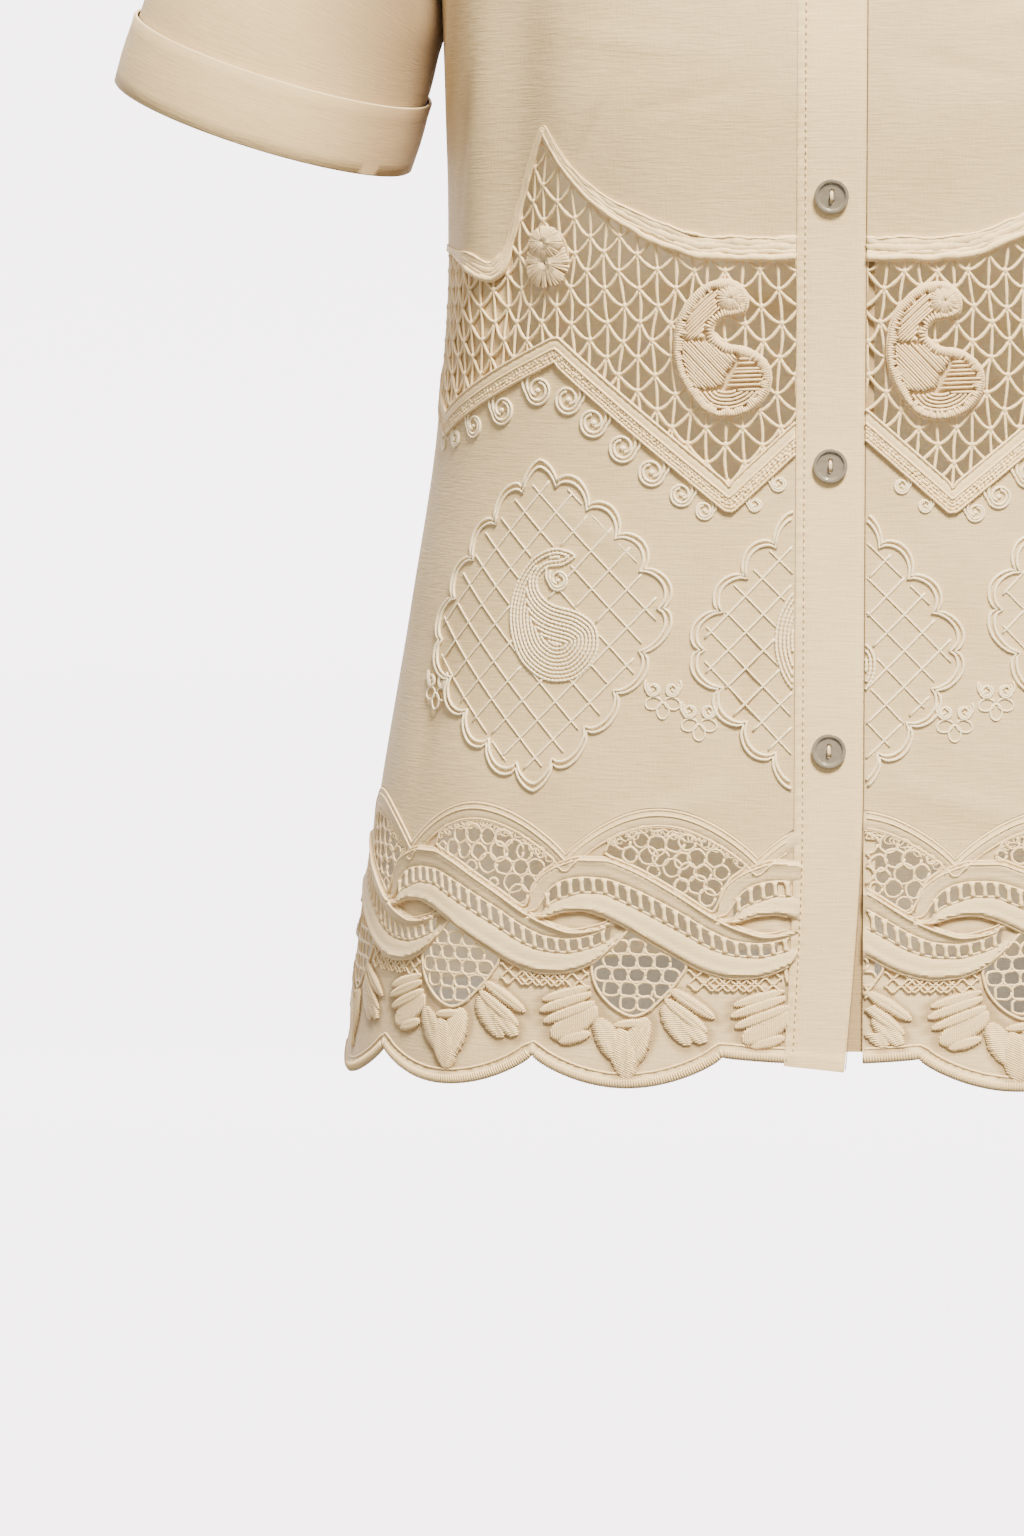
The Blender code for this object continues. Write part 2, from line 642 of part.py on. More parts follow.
def loft(name, rings, group, material, closed, wall, outward):
    """An open sheet through rings of points, given its thickness."""
    rings = np.asarray(rings)
    rows, count = rings.shape[:2]
    mesh = bpy.data.meshes.new(name)
    last = count if closed else count - 1
    faces = [(r * count + k, r * count + (k + 1) % count,
              (r + 1) * count + (k + 1) % count, (r + 1) * count + k)
             for r in range(rows - 1) for k in range(last)]
    mesh.from_pydata(rings.reshape(-1, 3).tolist(), [], faces)
    thing = add_object(name, mesh, material, group)
    thicken(thing, wall, outward)
    return thing


def even_loop(points, count):
    """Even stations round a closed loop, from its first point."""
    closed = np.vstack([points, points[:1]])
    arc = np.concatenate([[0], np.cumsum(np.linalg.norm(np.diff(closed, axis=0), axis=1))])
    at = np.linspace(0, arc[-1], count + 1)[:-1]
    return np.stack([np.interp(at, arc, closed[:, k]) for k in range(3)], axis=1)


def build_sleeves(front, back, group, linen):
    """Short sleeves from the armholes to turned-up cuffs, as hanging arms leave them."""
    top = front.levels[-1]
    levels = run(top, UNDERARM, 0.006)
    girth = front.girth(levels)
    ahead = front.at(girth, levels)
    behind = back.at(back.girth(levels), levels)[::-1]
    arm = even_loop(np.vstack([ahead[1:], behind[1:-1]]), SLEEVE_SIDES)
    middle = arm.mean(axis=0)
    x, y, z, half_wide, half_deep, tilt, lean = CUFF
    tilt, lean = math.radians(tilt), math.radians(lean)
    wide = np.array([math.cos(tilt), 0, math.sin(tilt)])
    deep = np.array([0, -math.cos(lean), -math.sin(lean)])
    axis = np.array([math.sin(tilt), 0, -math.cos(tilt)])
    angle = np.linspace(0, 2 * math.pi, SLEEVE_SIDES + 1)[:-1]
    unit = wide * np.cos(angle)[:, None] * half_wide + deep * np.sin(angle)[:, None] * half_deep
    centre = np.array([x, y, z])
    height = (arm[:, 2] - arm[:, 2].min()) / np.ptp(arm[:, 2])
    clear = 0.0008 + 0.0016 * (1 - height)
    start = arm + np.array([1.0, 0, 0]) * clear[:, None]
    leave = np.stack([0.10 + 0.62 * height ** 1.3, 0.10 * (arm[:, 1] - middle[1]) / 0.06,
                      -1.0 + 0.25 * height], axis=1)
    leave /= np.linalg.norm(leave, axis=1, keepdims=True)
    shrink = 1 - (WALL + LAY) / half_deep
    foot = centre + unit * shrink - axis * LAY
    end = foot - axis * (CUFF_HEIGHT + 0.004)
    span = np.linalg.norm(end - start, axis=1, keepdims=True)
    rings = []
    for t in np.linspace(0, 1, 7):
        h = ((2 * t ** 3 - 3 * t ** 2 + 1), (t ** 3 - 2 * t ** 2 + t),
             (3 * t ** 2 - 2 * t ** 3), (t ** 3 - t ** 2))
        rings.append(h[0] * start + h[1] * leave * span + h[2] * end + h[3] * axis * span)
    rings = np.array(rings + [foot - axis * CUFF_HEIGHT / 2, foot])
    cuff_rings = np.array([centre + unit - axis * CUFF_HEIGHT * t for t in np.linspace(1, 0, 3)])
    for side, letter in SIDES.items():
        mirror = np.array([side, 1, 1])
        order = slice(None) if side > 0 else slice(None, None, -1)
        loft("sleeve_" + letter, (rings * mirror)[:, order], group, linen, True, WALL, -1.0)
        loft("cuff_" + letter, (cuff_rings * mirror)[:, order], group, linen, True, WALL, -1.0)


def build_collar(front, back, group, linen):
    """A plain stand round the neck and a fall turned down over it."""
    ahead = front.at(front.starts + 1e-6, front.levels)[front.starts > PLACKET_HALF + SEAM]
    behind = back.at(back.starts + 1e-6, back.levels)[back.levels > BACK_NECK][::-1]
    half = np.vstack([[[PLACKET_HALF * 0.02, -0.0860, -0.100], [PLACKET_HALF, -0.0848, -0.0970]],
                      ahead, behind, [[0.0005, behind[-1][1], behind[-1][2]]]])
    arc = np.concatenate([[0], np.cumsum(np.linalg.norm(np.diff(half, axis=0), axis=1))])
    at = np.linspace(0, arc[-1], 15)
    half = np.stack([np.interp(at, arc, half[:, k]) for k in range(3)], axis=1)
    left = (half[:-1] * [-1, 1, 1])[::-1]
    neck = np.vstack([half, left])
    centre = np.array([0, -0.012, 0])
    away = (neck - centre) * [1, 1, 0]
    away /= np.linalg.norm(away, axis=1, keepdims=True)
    ahead_share = np.clip(-away[:, 1], 0, 1)[:, None]
    way = np.gradient(neck, axis=0)
    way /= np.linalg.norm(way, axis=1, keepdims=True)
    up = np.array([0, 0, 1.0]) - away * (0.16 + 0.25 * ahead_share)
    up -= 0.6 * way * (up * way).sum(axis=1, keepdims=True)
    up /= np.linalg.norm(up, axis=1, keepdims=True)
    out = np.cross(up, way)
    out *= np.sign((out * away).sum(axis=1, keepdims=True))
    out /= np.linalg.norm(out, axis=1, keepdims=True)
    foot = neck + up * NECK_LIFT
    rings = [foot + up * COLLAR_STAND * t for t in (0, 0.5, 1)]
    loft("collar_stand", rings, group, linen, False, WALL, 0.0)
    top = rings[-1] + up * (WALL / 2 + FALL_LIFT)
    reach = 0.038 + 0.022 * ahead_share ** 2
    down = away * 0.62 - np.array([0, 0, 1.0]) * (0.80 - 0.12 * (1 - ahead_share))
    down /= np.linalg.norm(down, axis=1, keepdims=True)
    shoulder = top + out * 0.0038 + up * 0.0006
    fall = [top, shoulder] + [shoulder + down * reach * t for t in (0.33, 0.67, 1)]
    open_front = slice(1, -1)
    loft("collar_fall", np.array(fall)[:, open_front], group, linen, False, WALL, 0.0)
    return foot, up


def build_buttons(surface, collar, group, cutters, pearl):
    """Two-hole buttons with a rim, turned from a profile."""
    radius, thick = BUTTON_RADIUS, BUTTON_THICK
    profile = [(0, thick * 0.72), (radius * 0.66, thick * 0.72), (radius * 0.82, thick),
               (radius, thick * 0.78), (radius * 0.95, 0), (0, 0)]
    for number in range(len(BUTTON_HEIGHTS) + 1):
        name = "button_%d" % (number + 1)
        mesh = bpy.data.meshes.new(name)
        mesh.from_pydata([(x, 0, z) for x, z in profile],
                         [(k, k + 1) for k in range(len(profile) - 1)], [])
        thing = add_object(name, mesh, pearl, group)
        if number == 0:
            foot, up = collar
            seat = Vector(foot[0] + up[0] * COLLAR_STAND * COLLAR_BUTTON_RISE)
            out = Vector((0, -up[0][2], up[0][1])).normalized()
            seat = Vector((0, seat.y, seat.z)) + out * (WALL / 2 + 2 * LAY)
        else:
            level = BUTTON_HEIGHTS[number - 1]
            base = surface.at(np.array([0.0, 0.0]), np.array([level, level]),
                              np.array([0.0, 1.0]))
            out = Vector(base[1] - base[0]).normalized()
            seat = Vector(base[0]) + out * (PLACKET_WALL - WALL + LAY)
        turn = out.to_track_quat("Z", "Y").to_matrix().to_4x4()
        place = Matrix.Translation(seat) @ turn
        thing.matrix_world = place
        screw = thing.modifiers.new("Turn", "SCREW")
        screw.steps = screw.render_steps = 14
        screw.use_merge_vertices = True
        screw.merge_threshold = 0.00001
        drills = bmesh.new()
        for up_down in (-1, 1):
            spot = Matrix.Translation((0, up_down * 0.0016, thick / 2))
            bmesh.ops.create_cone(drills, cap_ends=True, segments=6, radius1=0.0009,
                                  radius2=0.0009, depth=3 * thick, matrix=spot)
        drill_mesh = bpy.data.meshes.new("thread_holes_%d" % (number + 1))
        drills.to_mesh(drill_mesh)
        drills.free()
        drill = bpy.data.objects.new(drill_mesh.name, drill_mesh)
        drill.matrix_world = place
        drill.hide_render = True
        drill.display_type = "WIRE"
        cutters.objects.link(drill)
        cut = thing.modifiers.new("Thread holes", "BOOLEAN")
        cut.operation = "DIFFERENCE"
        cut.object = drill


clear_scene()
shirt = new_collection("lace_shirt")
cutters = new_collection("cutters")
linen = new_material("linen", LINEN, 0.85)
lace = new_material("lace", LACE, 0.80)
pearl = new_material("pearl", PEARL, 0.35)
front_surface = Surface(FRONT_YOKE, FRONT_FOLDS, -1)
back_surface = Surface(BACK_YOKE, BACK_FOLDS, 1)
build_fronts(front_surface, shirt, linen, lace)
build_pads(front_surface, shirt, lace)
build_plackets(front_surface, shirt, linen)
back_panel(back_surface, shirt, linen)
build_sleeves(front_surface, back_surface, shirt, linen)
collar_line = build_collar(front_surface, back_surface, shirt, linen)
build_buttons(front_surface, collar_line, shirt, cutters, pearl)
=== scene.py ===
"""Cream lace shirt, worn hollow: its cloth, lace, cords and buttons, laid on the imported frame.

Lengths are in metres. u is the distance round the body from the centre line, negative on the
viewer's left, and z is the height above the tops of the shoulders, so the hem is at -0.70.
"""
import math

import bpy
import numpy as np
from mathutils import Matrix, Vector, geometry


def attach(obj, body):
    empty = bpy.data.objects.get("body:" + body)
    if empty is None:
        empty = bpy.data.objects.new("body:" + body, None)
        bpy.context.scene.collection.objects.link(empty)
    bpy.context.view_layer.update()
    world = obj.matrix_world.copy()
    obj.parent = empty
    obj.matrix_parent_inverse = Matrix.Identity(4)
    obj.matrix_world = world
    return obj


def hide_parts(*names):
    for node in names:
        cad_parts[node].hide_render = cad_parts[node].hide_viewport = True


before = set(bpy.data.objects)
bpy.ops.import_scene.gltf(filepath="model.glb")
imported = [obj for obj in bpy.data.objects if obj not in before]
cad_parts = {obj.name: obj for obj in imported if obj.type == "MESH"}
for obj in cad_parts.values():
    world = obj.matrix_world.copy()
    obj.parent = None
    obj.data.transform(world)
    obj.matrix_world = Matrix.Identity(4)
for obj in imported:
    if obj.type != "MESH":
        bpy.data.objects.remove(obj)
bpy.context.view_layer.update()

# Upper fronts: slub linen, one layer, cut along the yoke line at the foot and sewn there to the
# lattice lace. They take the chest's shape from the shoulder seam down, with a soft fold that
# drops from the arm.
SHELL = 0.0008           # the linen's thickness
SEAM = 0.0003
PLACKET_HALF = 0.0146
PLACKET_TOP = -0.0850
# how far each edge of the placket swings at the hem, from what height and over what drop
LEFT_SWING = (0.0042, -0.60, 0.10)
RIGHT_SWING = (0.0075, -0.58, 0.12)
SECTION_POWER = 2.5
UNDERARM = -0.2100
LEVELS = 260
STATIONS = 141
SIDES = {-1: "L", 1: "R"}
# height, half width, front depth, back depth
BODY = (
    (-0.745, 0.2205, 0.1480, 0.1380),
    (-0.687, 0.2150, 0.1430, 0.1330),
    (-0.597, 0.2030, 0.1370, 0.1250),
    (-0.507, 0.1880, 0.1300, 0.1150),
    (-0.423, 0.1757, 0.1250, 0.1050),
    (-0.347, 0.1712, 0.1270, 0.1020),
    (-0.280, 0.1725, 0.1320, 0.1080),
    (UNDERARM, 0.1745, 0.1280, 0.1140),
)
# level, then x, y, z at the centre line or neck, x, y, z at the armhole, and the arc between them
FRONT_YOKE = (
    (-0.178, 0.0000, -0.1225, -0.180, 0.1735, -0.028, -0.195, 80),
    (-0.146, 0.0000, -0.1130, -0.150, 0.1675, -0.047, -0.170, 70),
    (-0.115, 0.0000, -0.1000, -0.122, 0.1630, -0.055, -0.140, 62),
    (-0.085, 0.0000, -0.0860, -0.100, 0.1630, -0.054, -0.110, 55),
    (-0.077, 0.0140, -0.0855, -0.0985, 0.1636, -0.0520, -0.103, 53),
    (-0.058, 0.0360, -0.0790, -0.089, 0.1680, -0.045, -0.085, 48),
    (-0.029, 0.0600, -0.0580, -0.062, 0.1770, -0.030, -0.062, 40),
    (-0.005, 0.0710, -0.0280, -0.020, 0.1855, -0.014, -0.049, 30),
    (0.010, 0.0738, -0.0060, -0.0012, 0.1898, 0.000, -0.0452, 20),
    (0.016, 0.0740, 0.0020, 0.000, 0.1900, 0.003, -0.045, 20),
)
# side, u and z at the top, u and z at the foot, half width, height
FRONT_FOLDS = (
    (-1, 0.138, -0.215, 0.150, -0.385, 0.017, -0.0040),
    (-1, 0.168, -0.230, 0.176, -0.400, 0.016, 0.0030),
    (1, 0.144, -0.215, 0.154, -0.370, 0.018, -0.0040),
    (1, 0.174, -0.235, 0.180, -0.390, 0.016, 0.0028),
    (-1, 0.150, -0.560, 0.182, -0.745, 0.020, 0.0030),
    (1, 0.156, -0.570, 0.190, -0.745, 0.020, 0.0030),
)
# u and z along the top of the lattice; a corner is sharp
YOKE_EDGE = (
    (0.0000, -0.3490, False),
    (0.0340, -0.3495, False),
    (0.0550, -0.3485, False),
    (0.0771, -0.3414, False),
    (0.1005, -0.3287, False),
    (0.1198, -0.3109, False),
    (0.1300, -0.2975, True),
    (0.1370, -0.3109, False),
    (0.1438, -0.3287, False),
    (0.1530, -0.3530, False),
    (0.1600, -0.3590, False),
    (0.1769, -0.3541, False),
    (0.2100, -0.3490, False),
    (0.2700, -0.3460, False),
)
# u, z, reach along and across, turn in degrees, height: creases pressed in by wear
UPPER_CREASES = (
    (-0.060, -0.285, 0.026, 0.0030, 12, -0.0006),
    (-0.085, -0.262, 0.034, 0.0036, -8, 0.0006),
    (-0.040, -0.243, 0.022, 0.0028, 5, -0.0005),
    (-0.108, -0.300, 0.018, 0.0030, 60, -0.0007),
    (-0.180, -0.300, 0.030, 0.0050, 78, -0.0012),
    (-0.206, -0.262, 0.034, 0.0060, 70, 0.0014),
    (-0.226, -0.300, 0.030, 0.0045, 80, -0.0010),
    (-0.100, -0.200, 0.040, 0.0060, 30, 0.0010),
    (-0.120, -0.170, 0.046, 0.0070, 36, -0.0012),
    (0.055, -0.272, 0.024, 0.0030, -10, -0.0006),
    (0.090, -0.250, 0.034, 0.0036, 8, 0.0006),
    (0.115, -0.195, 0.044, 0.0065, -34, -0.0011),
    (0.196, -0.280, 0.034, 0.0055, -72, 0.0013),
)
UPPER_STEP = 0.0042
LINEN_LIGHT = (0.70, 0.550, 0.330, 1.0)
LINEN_DARK = (0.55, 0.420, 0.235, 1.0)
# Painted shade and highlight: the depth below the places round it at which a place takes the full
# painted shade, and the colours painted into sunk places and onto raised ones.
FULL_SHADE_DEPTH = 0.0007          # a place this far below those round it takes the full shade
PAINTED_SHADE, PAINTED_HIGHLIGHT = (0.30, 0.20, 0.105, 1.0), (0.95, 0.82, 0.58, 1.0)


def smooth_curve(xs, ys, x):
    """Curve through a table's values that never overshoots them."""
    xs, ys = np.asarray(xs, float), np.asarray(ys, float)
    step = np.diff(xs)
    slope = np.diff(ys) / step
    bend = np.zeros_like(xs)
    bend[0], bend[-1] = slope[0], slope[-1]
    for i in range(1, len(xs) - 1):
        if slope[i - 1] * slope[i] > 0:
            before, after = 2 * step[i] + step[i - 1], step[i] + 2 * step[i - 1]
            bend[i] = (before + after) / (before / slope[i - 1] + after / slope[i])
    i = np.clip(np.searchsorted(xs, x, side="right") - 1, 0, len(xs) - 2)
    t = (x - xs[i]) / step[i]
    rise = 3 * t ** 2 - 2 * t ** 3
    return (ys[i] + rise * (ys[i + 1] - ys[i])
            + (t ** 3 - 2 * t ** 2 + t) * step[i] * bend[i]
            + (t ** 3 - t ** 2) * step[i] * bend[i + 1])


def edge_curve(table):
    """Height of an edge at any u, smooth between its sharp corners."""
    us = [row[0] for row in table]
    zs = [row[1] for row in table]
    breaks = [0] + [i for i, row in enumerate(table) if row[2] and 0 < i < len(table) - 1]
    breaks.append(len(table) - 1)

    def height(u):
        u = np.abs(np.asarray(u, float))
        out = np.zeros_like(u)
        for first, last in zip(breaks[:-1], breaks[1:]):
            part = (u >= us[first]) & (u <= us[last] + 1e-9)
            span = slice(first, last + 1)
            if last - first == 1:
                out[part] = np.interp(u[part], us[span], zs[span])
            else:
                out[part] = smooth_curve(us[span], zs[span], u[part])
        return out

    return height


def distance_along(line):
    """Distance from a line's first point to each of its points."""
    return np.concatenate([[0], np.cumsum(np.linalg.norm(np.diff(line, axis=0), axis=1))])


def stations_at(places, arc, line):
    """Points of a line at given distances along it."""
    return np.stack([np.interp(places, arc, column) for column in line.T], axis=1)


def pairs(us, zs):
    """Rows of u and z."""
    return np.stack([us, zs], axis=1)


def normed(ways):
    """Directions made one unit long."""
    return ways / np.linalg.norm(ways, axis=-1, keepdims=True)


class Surface:
    """Outer face of the cloth: half sections stacked up the body, mirrored at the centre."""

    def __init__(self, yoke, folds, facing):
        depth_column = 2 if facing < 0 else 3
        rows = [(row[0], 0, facing * row[depth_column], row[0], row[1], 0, row[0], 90)
                for row in BODY]
        rows = np.array(rows + list(yoke))
        self.facing = facing
        self.folds = folds
        self.levels = np.linspace(rows[0, 0], rows[-1, 0], LEVELS)
        columns = [smooth_curve(rows[:, 0], rows[:, k], self.levels) for k in range(1, 8)]
        self.grid = np.zeros((LEVELS, STATIONS, 3))
        self.starts = columns[0]
        self.girths = np.zeros(LEVELS)
        along = np.linspace(0, 1, 4 * STATIONS)
        for i in range(LEVELS):
            x_in, y_in, z_in, x_out, y_out, z_out, sweep = [column[i] for column in columns]
            across, forward = self.quarter(along * math.radians(sweep))
            across, forward = across / across[-1], (1 - forward) / (1 - forward[-1])
            ring = np.stack([x_in + (x_out - x_in) * across, y_in + (y_out - y_in) * forward,
                             z_in + (z_out - z_in) * across], axis=1)
            arc = distance_along(ring)
            self.girths[i] = x_in + arc[-1]
            self.grid[i] = stations_at(np.linspace(0, arc[-1], STATIONS), arc, ring)
        up = np.gradient(self.grid, axis=0)
        around = np.gradient(self.grid, axis=1)
        normal = np.cross(around, up) * -facing
        normal[self.levels < PLACKET_TOP, 0, 0] = 0
        self.normals = normed(normal)

    @staticmethod
    def quarter(angle):
        across, forward = np.sin(angle), np.cos(angle)
        size = (np.abs(across) ** SECTION_POWER + np.abs(forward) ** SECTION_POWER)
        size = size ** (1 / SECTION_POWER)
        return across / size, forward / size

    def start(self, level):
        """Distance from the centre line to the neck's edge, nothing below the neck."""
        return np.interp(level, self.levels, self.starts)

    def girth(self, level):
        """Distance from the centre line to the side seam or armhole."""
        return np.interp(level, self.levels, self.girths)

    def fold(self, u, level):
        lift = np.zeros_like(u)
        for side, u_top, z_top, u_foot, z_foot, half, height in self.folds:
            along = np.clip((level - z_top) / (z_foot - z_top), 0, 1)
            across = (u * side - (u_top + (u_foot - u_top) * along)) / half
            lift += height * np.exp(-across ** 2) * np.sin(math.pi * along) ** 0.7
        return lift

    def at(self, u, level, lift=0.0):
        """Points at signed u and level, lifted off the outer face."""
        u, level = np.asarray(u, float), np.asarray(level, float)
        row = np.interp(level, self.levels, np.arange(LEVELS))
        start = self.start(level)
        share = (np.abs(u) - start) / (self.girth(level) - start)
        column = np.clip(share, 0, 1) * (STATIONS - 1)
        i = np.minimum(row.astype(int), LEVELS - 2)
        j = np.minimum(column.astype(int), STATIONS - 2)
        a, b = (row - i)[..., None], (column - j)[..., None]

        def mixed(field):
            low = field[i, j] * (1 - b) + field[i, j + 1] * b
            high = field[i + 1, j] * (1 - b) + field[i + 1, j + 1] * b
            return low * (1 - a) + high * a

        height = lift + self.fold(u, level)
        points = mixed(self.grid) + mixed(self.normals) * height[..., None]
        points[..., 0] *= np.where(u < 0, -1.0, 1.0)
        return points

    def outward(self, u, level):
        """Unit directions off the outer face."""
        return normed(self.at(u, level, 0.001) - self.at(u, level, 0.0))


def inside(polygon, points):
    """Which points lie inside a closed outline."""
    hit = np.zeros(len(points), bool)
    ends = np.roll(polygon, -1, axis=0)
    for (x0, y0), (x1, y1) in zip(polygon, ends):
        crosses = (y0 > points[:, 1]) != (y1 > points[:, 1])
        if y0 != y1:
            hit ^= crosses & (points[:, 0] < x0 + (points[:, 1] - y0) * (x1 - x0) / (y1 - y0))
    return hit


def clearance(polygon, points):
    """Distance from each point to the nearest side of an outline."""
    best = np.full(len(points), np.inf)
    for start, end in zip(polygon, np.roll(polygon, -1, axis=0)):
        way = end - start
        t = np.clip(((points - start) @ way) / max(way @ way, 1e-12), 0, 1)
        best = np.minimum(best, np.linalg.norm(points - start - t[:, None] * way, axis=1))
    return best


def flat_mesh(outline, holes, filling, margin):
    """Triangles over a flat pattern piece, with its holes left out."""
    keep = inside(outline, filling)
    filling = filling[keep]
    filling = filling[clearance(outline, filling) > margin]
    for hole in holes:
        low, high = hole.min(axis=0) - margin, hole.max(axis=0) + margin
        near = np.all((filling > low) & (filling < high), axis=1)
        spots = filling[near]
        near[near] = inside(hole, spots) | (clearance(hole, spots) < margin * 0.6)
        filling = filling[~near]
    loops = [outline] + list(holes)
    points = np.concatenate(loops + [filling])
    edges, start = [], 0
    for loop in loops:
        count = len(loop)
        edges += [(start + k, start + (k + 1) % count) for k in range(count)]
        start += count
    flat = [Vector(point) for point in (points * 1000).tolist()]
    result = geometry.delaunay_2d_cdt(flat, edges, [], 1, 1e-4)
    points = np.array([list(point) for point in result[0]]) / 1000
    faces = np.array(result[2])
    middles = points[faces].mean(axis=1)
    solid = inside(outline, middles)
    for hole in holes:
        low, high = hole.min(axis=0), hole.max(axis=0)
        near = solid & np.all((middles > low) & (middles < high), axis=1)
        solid[near] = ~inside(hole, middles[near])
    return points, faces[solid]


def linked(name, mesh):
    thing = bpy.data.objects.new(name, mesh)
    bpy.context.scene.collection.objects.link(thing)
    return thing


def settle(thing):
    """Applies what is still live on a piece, and smooths it."""
    bpy.ops.object.select_all(action="DESELECT")
    thing.select_set(True)
    bpy.context.view_layer.objects.active = thing
    for modifier in list(thing.modifiers):
        bpy.ops.object.modifier_apply(modifier=modifier.name)
    bpy.ops.object.shade_smooth_by_angle(angle=math.radians(50))
    thing.select_set(False)
    return thing


def set_flat(mesh, flat):
    """Keeps each point's place on the flat cloth as the mesh's UV map."""
    layer = mesh.uv_layers.new(name="flat")
    corners = np.zeros(len(mesh.loops), np.int32)
    mesh.loops.foreach_get("vertex_index", corners)
    layer.data.foreach_set("uv", np.asarray(flat, np.float32)[corners].ravel())


def set_painted_shading(mesh, painted_shading):
    """Keeps each point's painted shading for the finish, from -1, full painted highlight on a crest,
    to 1, full painted shade in a hollow.
    """
    depth = mesh.attributes.new("painted_shading", "FLOAT", "POINT")
    depth.data.foreach_set("value", painted_shading.astype(np.float32))


def add_wall(thing, thick, offset):
    wall = thing.modifiers.new("Wall", "SOLIDIFY")
    wall.thickness = thick
    wall.offset = offset


def sunk(lift, faces):
    """How far each point lies below the places round it, in shares of FULL_SHADE_DEPTH."""
    ends = np.concatenate([faces[:, [0, 1]], faces[:, [1, 2]], faces[:, [2, 0]]])
    count = np.maximum(np.bincount(ends.ravel(), minlength=len(lift)), 1)
    level = lift.copy()
    for _ in range(8):
        total = (np.bincount(ends[:, 0], level[ends[:, 1]], len(lift))
                 + np.bincount(ends[:, 1], level[ends[:, 0]], len(lift)))
        level = (level + total / count) / 2
    return (level - lift) / FULL_SHADE_DEPTH


def cloth(name, surface, outline, step, holes=(), relief=None, thick=SHELL, margin=None,
          two_sided=False, shade=None):
    """A cut piece of cloth laid on the body, with its raised and sunk places, then its wall."""
    outline = np.asarray(outline, float)
    holes = [np.asarray(hole, float) for hole in holes]
    low, high = outline.min(axis=0), outline.max(axis=0)
    rows = []
    for k, level in enumerate(np.arange(low[1], high[1], step * 0.87)):
        us = np.arange(low[0] + step * 0.5 * (k % 2), high[0], step)
        rows.append(pairs(us, np.full_like(us, level)))
    points, faces = flat_mesh(outline, holes, np.concatenate(rows), margin or step * 0.6)
    lift = relief(points[:, 0], points[:, 1]) if relief else np.zeros(len(points))
    # Painted shade in the sunk places and painted highlight on the raised ones, with any further
    # painted shade given, kept for the finish.
    painted_shading = sunk(lift, faces)
    if shade:
        painted_shading = np.maximum(painted_shading, shade(points[:, 0], points[:, 1]))
    if surface.facing > 0:
        faces = faces[:, ::-1]
    mesh = bpy.data.meshes.new(name)
    placed = surface.at(points[:, 0], points[:, 1], lift)
    mesh.from_pydata(placed.tolist(), [], faces.tolist())
    set_flat(mesh, points)
    set_painted_shading(mesh, np.clip(painted_shading, -1, 1))
    thing = linked(name, mesh)
    add_wall(thing, thick, -1.0)
    settle(thing)
    if two_sided:
        behind = np.zeros(len(thing.data.polygons), np.int32)
        behind[len(faces):2 * len(faces)] = 1
        thing.data.polygons.foreach_set("material_index", behind)
    return thing


def area_of(thing):
    """Area of one face of a sheet."""
    mesh = thing.data
    areas = np.zeros(len(mesh.polygons))
    mesh.polygons.foreach_get("area", areas)
    return float(areas.sum()) / 2


def run(start, end, step):
    """Even stations from start to end, both ends included."""
    count = max(1, int(round(abs(end - start) / step)))
    return np.linspace(start, end, count + 1)


def with_corners(stations, corners):
    """Stations that also stop at each corner, without crowding it."""
    low, high = min(stations[0], stations[-1]), max(stations[0], stations[-1])
    inner = [corner for corner in corners if low + 1e-6 < corner < high - 1e-6]
    step = abs(stations[1] - stations[0])
    kept = [s for s in stations[1:-1] if all(abs(s - corner) > 0.4 * step for corner in inner)]
    order = sorted([stations[0], stations[-1]] + kept + inner)
    return np.array(order if stations[0] < stations[-1] else order[::-1])


def side_points(surface, side, z_from, z_to, step=0.004):
    """Points down or up a side seam, half a seam gap inside it."""
    levels = run(z_from, z_to, step)
    return [(side * (surface.girth(level) - SEAM / 2), level) for level in levels]


def seam_height(surface, side, height):
    """Height at which an edge meets the side seam."""
    level = -0.5
    for _ in range(20):
        level = float(height(side * surface.girth(level)))
    return level


def swung(level, swing):
    """How far an edge of the placket has swung to the left on its way down to the hem."""
    reach, start, drop = swing
    return reach * np.clip((start - np.asarray(level)) / drop, 0, 1) ** 1.5


def placket_left(level):
    return -PLACKET_HALF - swung(level, LEFT_SWING)


def placket_right(level):
    return PLACKET_HALF - swung(level, RIGHT_SWING)


def front_edge(side, level):
    """Where a front meets the placket."""
    if side < 0:
        return placket_left(level) - SEAM
    return PLACKET_HALF + SEAM + 0 * np.asarray(level)


def edge_points(surface, side, height, step=0.003, corners=()):
    """An edge across one front, from the side seam to the placket."""
    level = seam_height(surface, side, height)
    far = side * (surface.girth(level) - SEAM / 2)
    near = float(front_edge(side, height(side * PLACKET_HALF)))
    return [(u, float(height(u))) for u in with_corners(run(far, near, step), corners)]


def between(surface, side, upper, lower):
    """Outline of one front between two edges."""
    inner = run(lower[-1][1], upper[-1][1], 0.004)[1:-1]
    outline = lower + [(float(front_edge(side, level)), level) for level in inner]
    return outline + upper[::-1] + side_points(surface, side, upper[0][1], lower[0][1])[1:-1]


def bearing(turn):
    """Cosine and sine of a turn in degrees."""
    return math.cos(math.radians(turn)), math.sin(math.radians(turn))


def creases(table):
    """Relief of a table of soft troughs and ridges."""
    def relief(u, z):
        lift = np.zeros_like(u)
        for at_u, at_z, along, across, turn, height in table:
            c, s = bearing(turn)
            a = ((u - at_u) * c + (z - at_z) * s) / along
            b = ((z - at_z) * c - (u - at_u) * s) / across
            lift += height * np.exp(-a ** 2 - b ** 2)
        return lift
    return relief


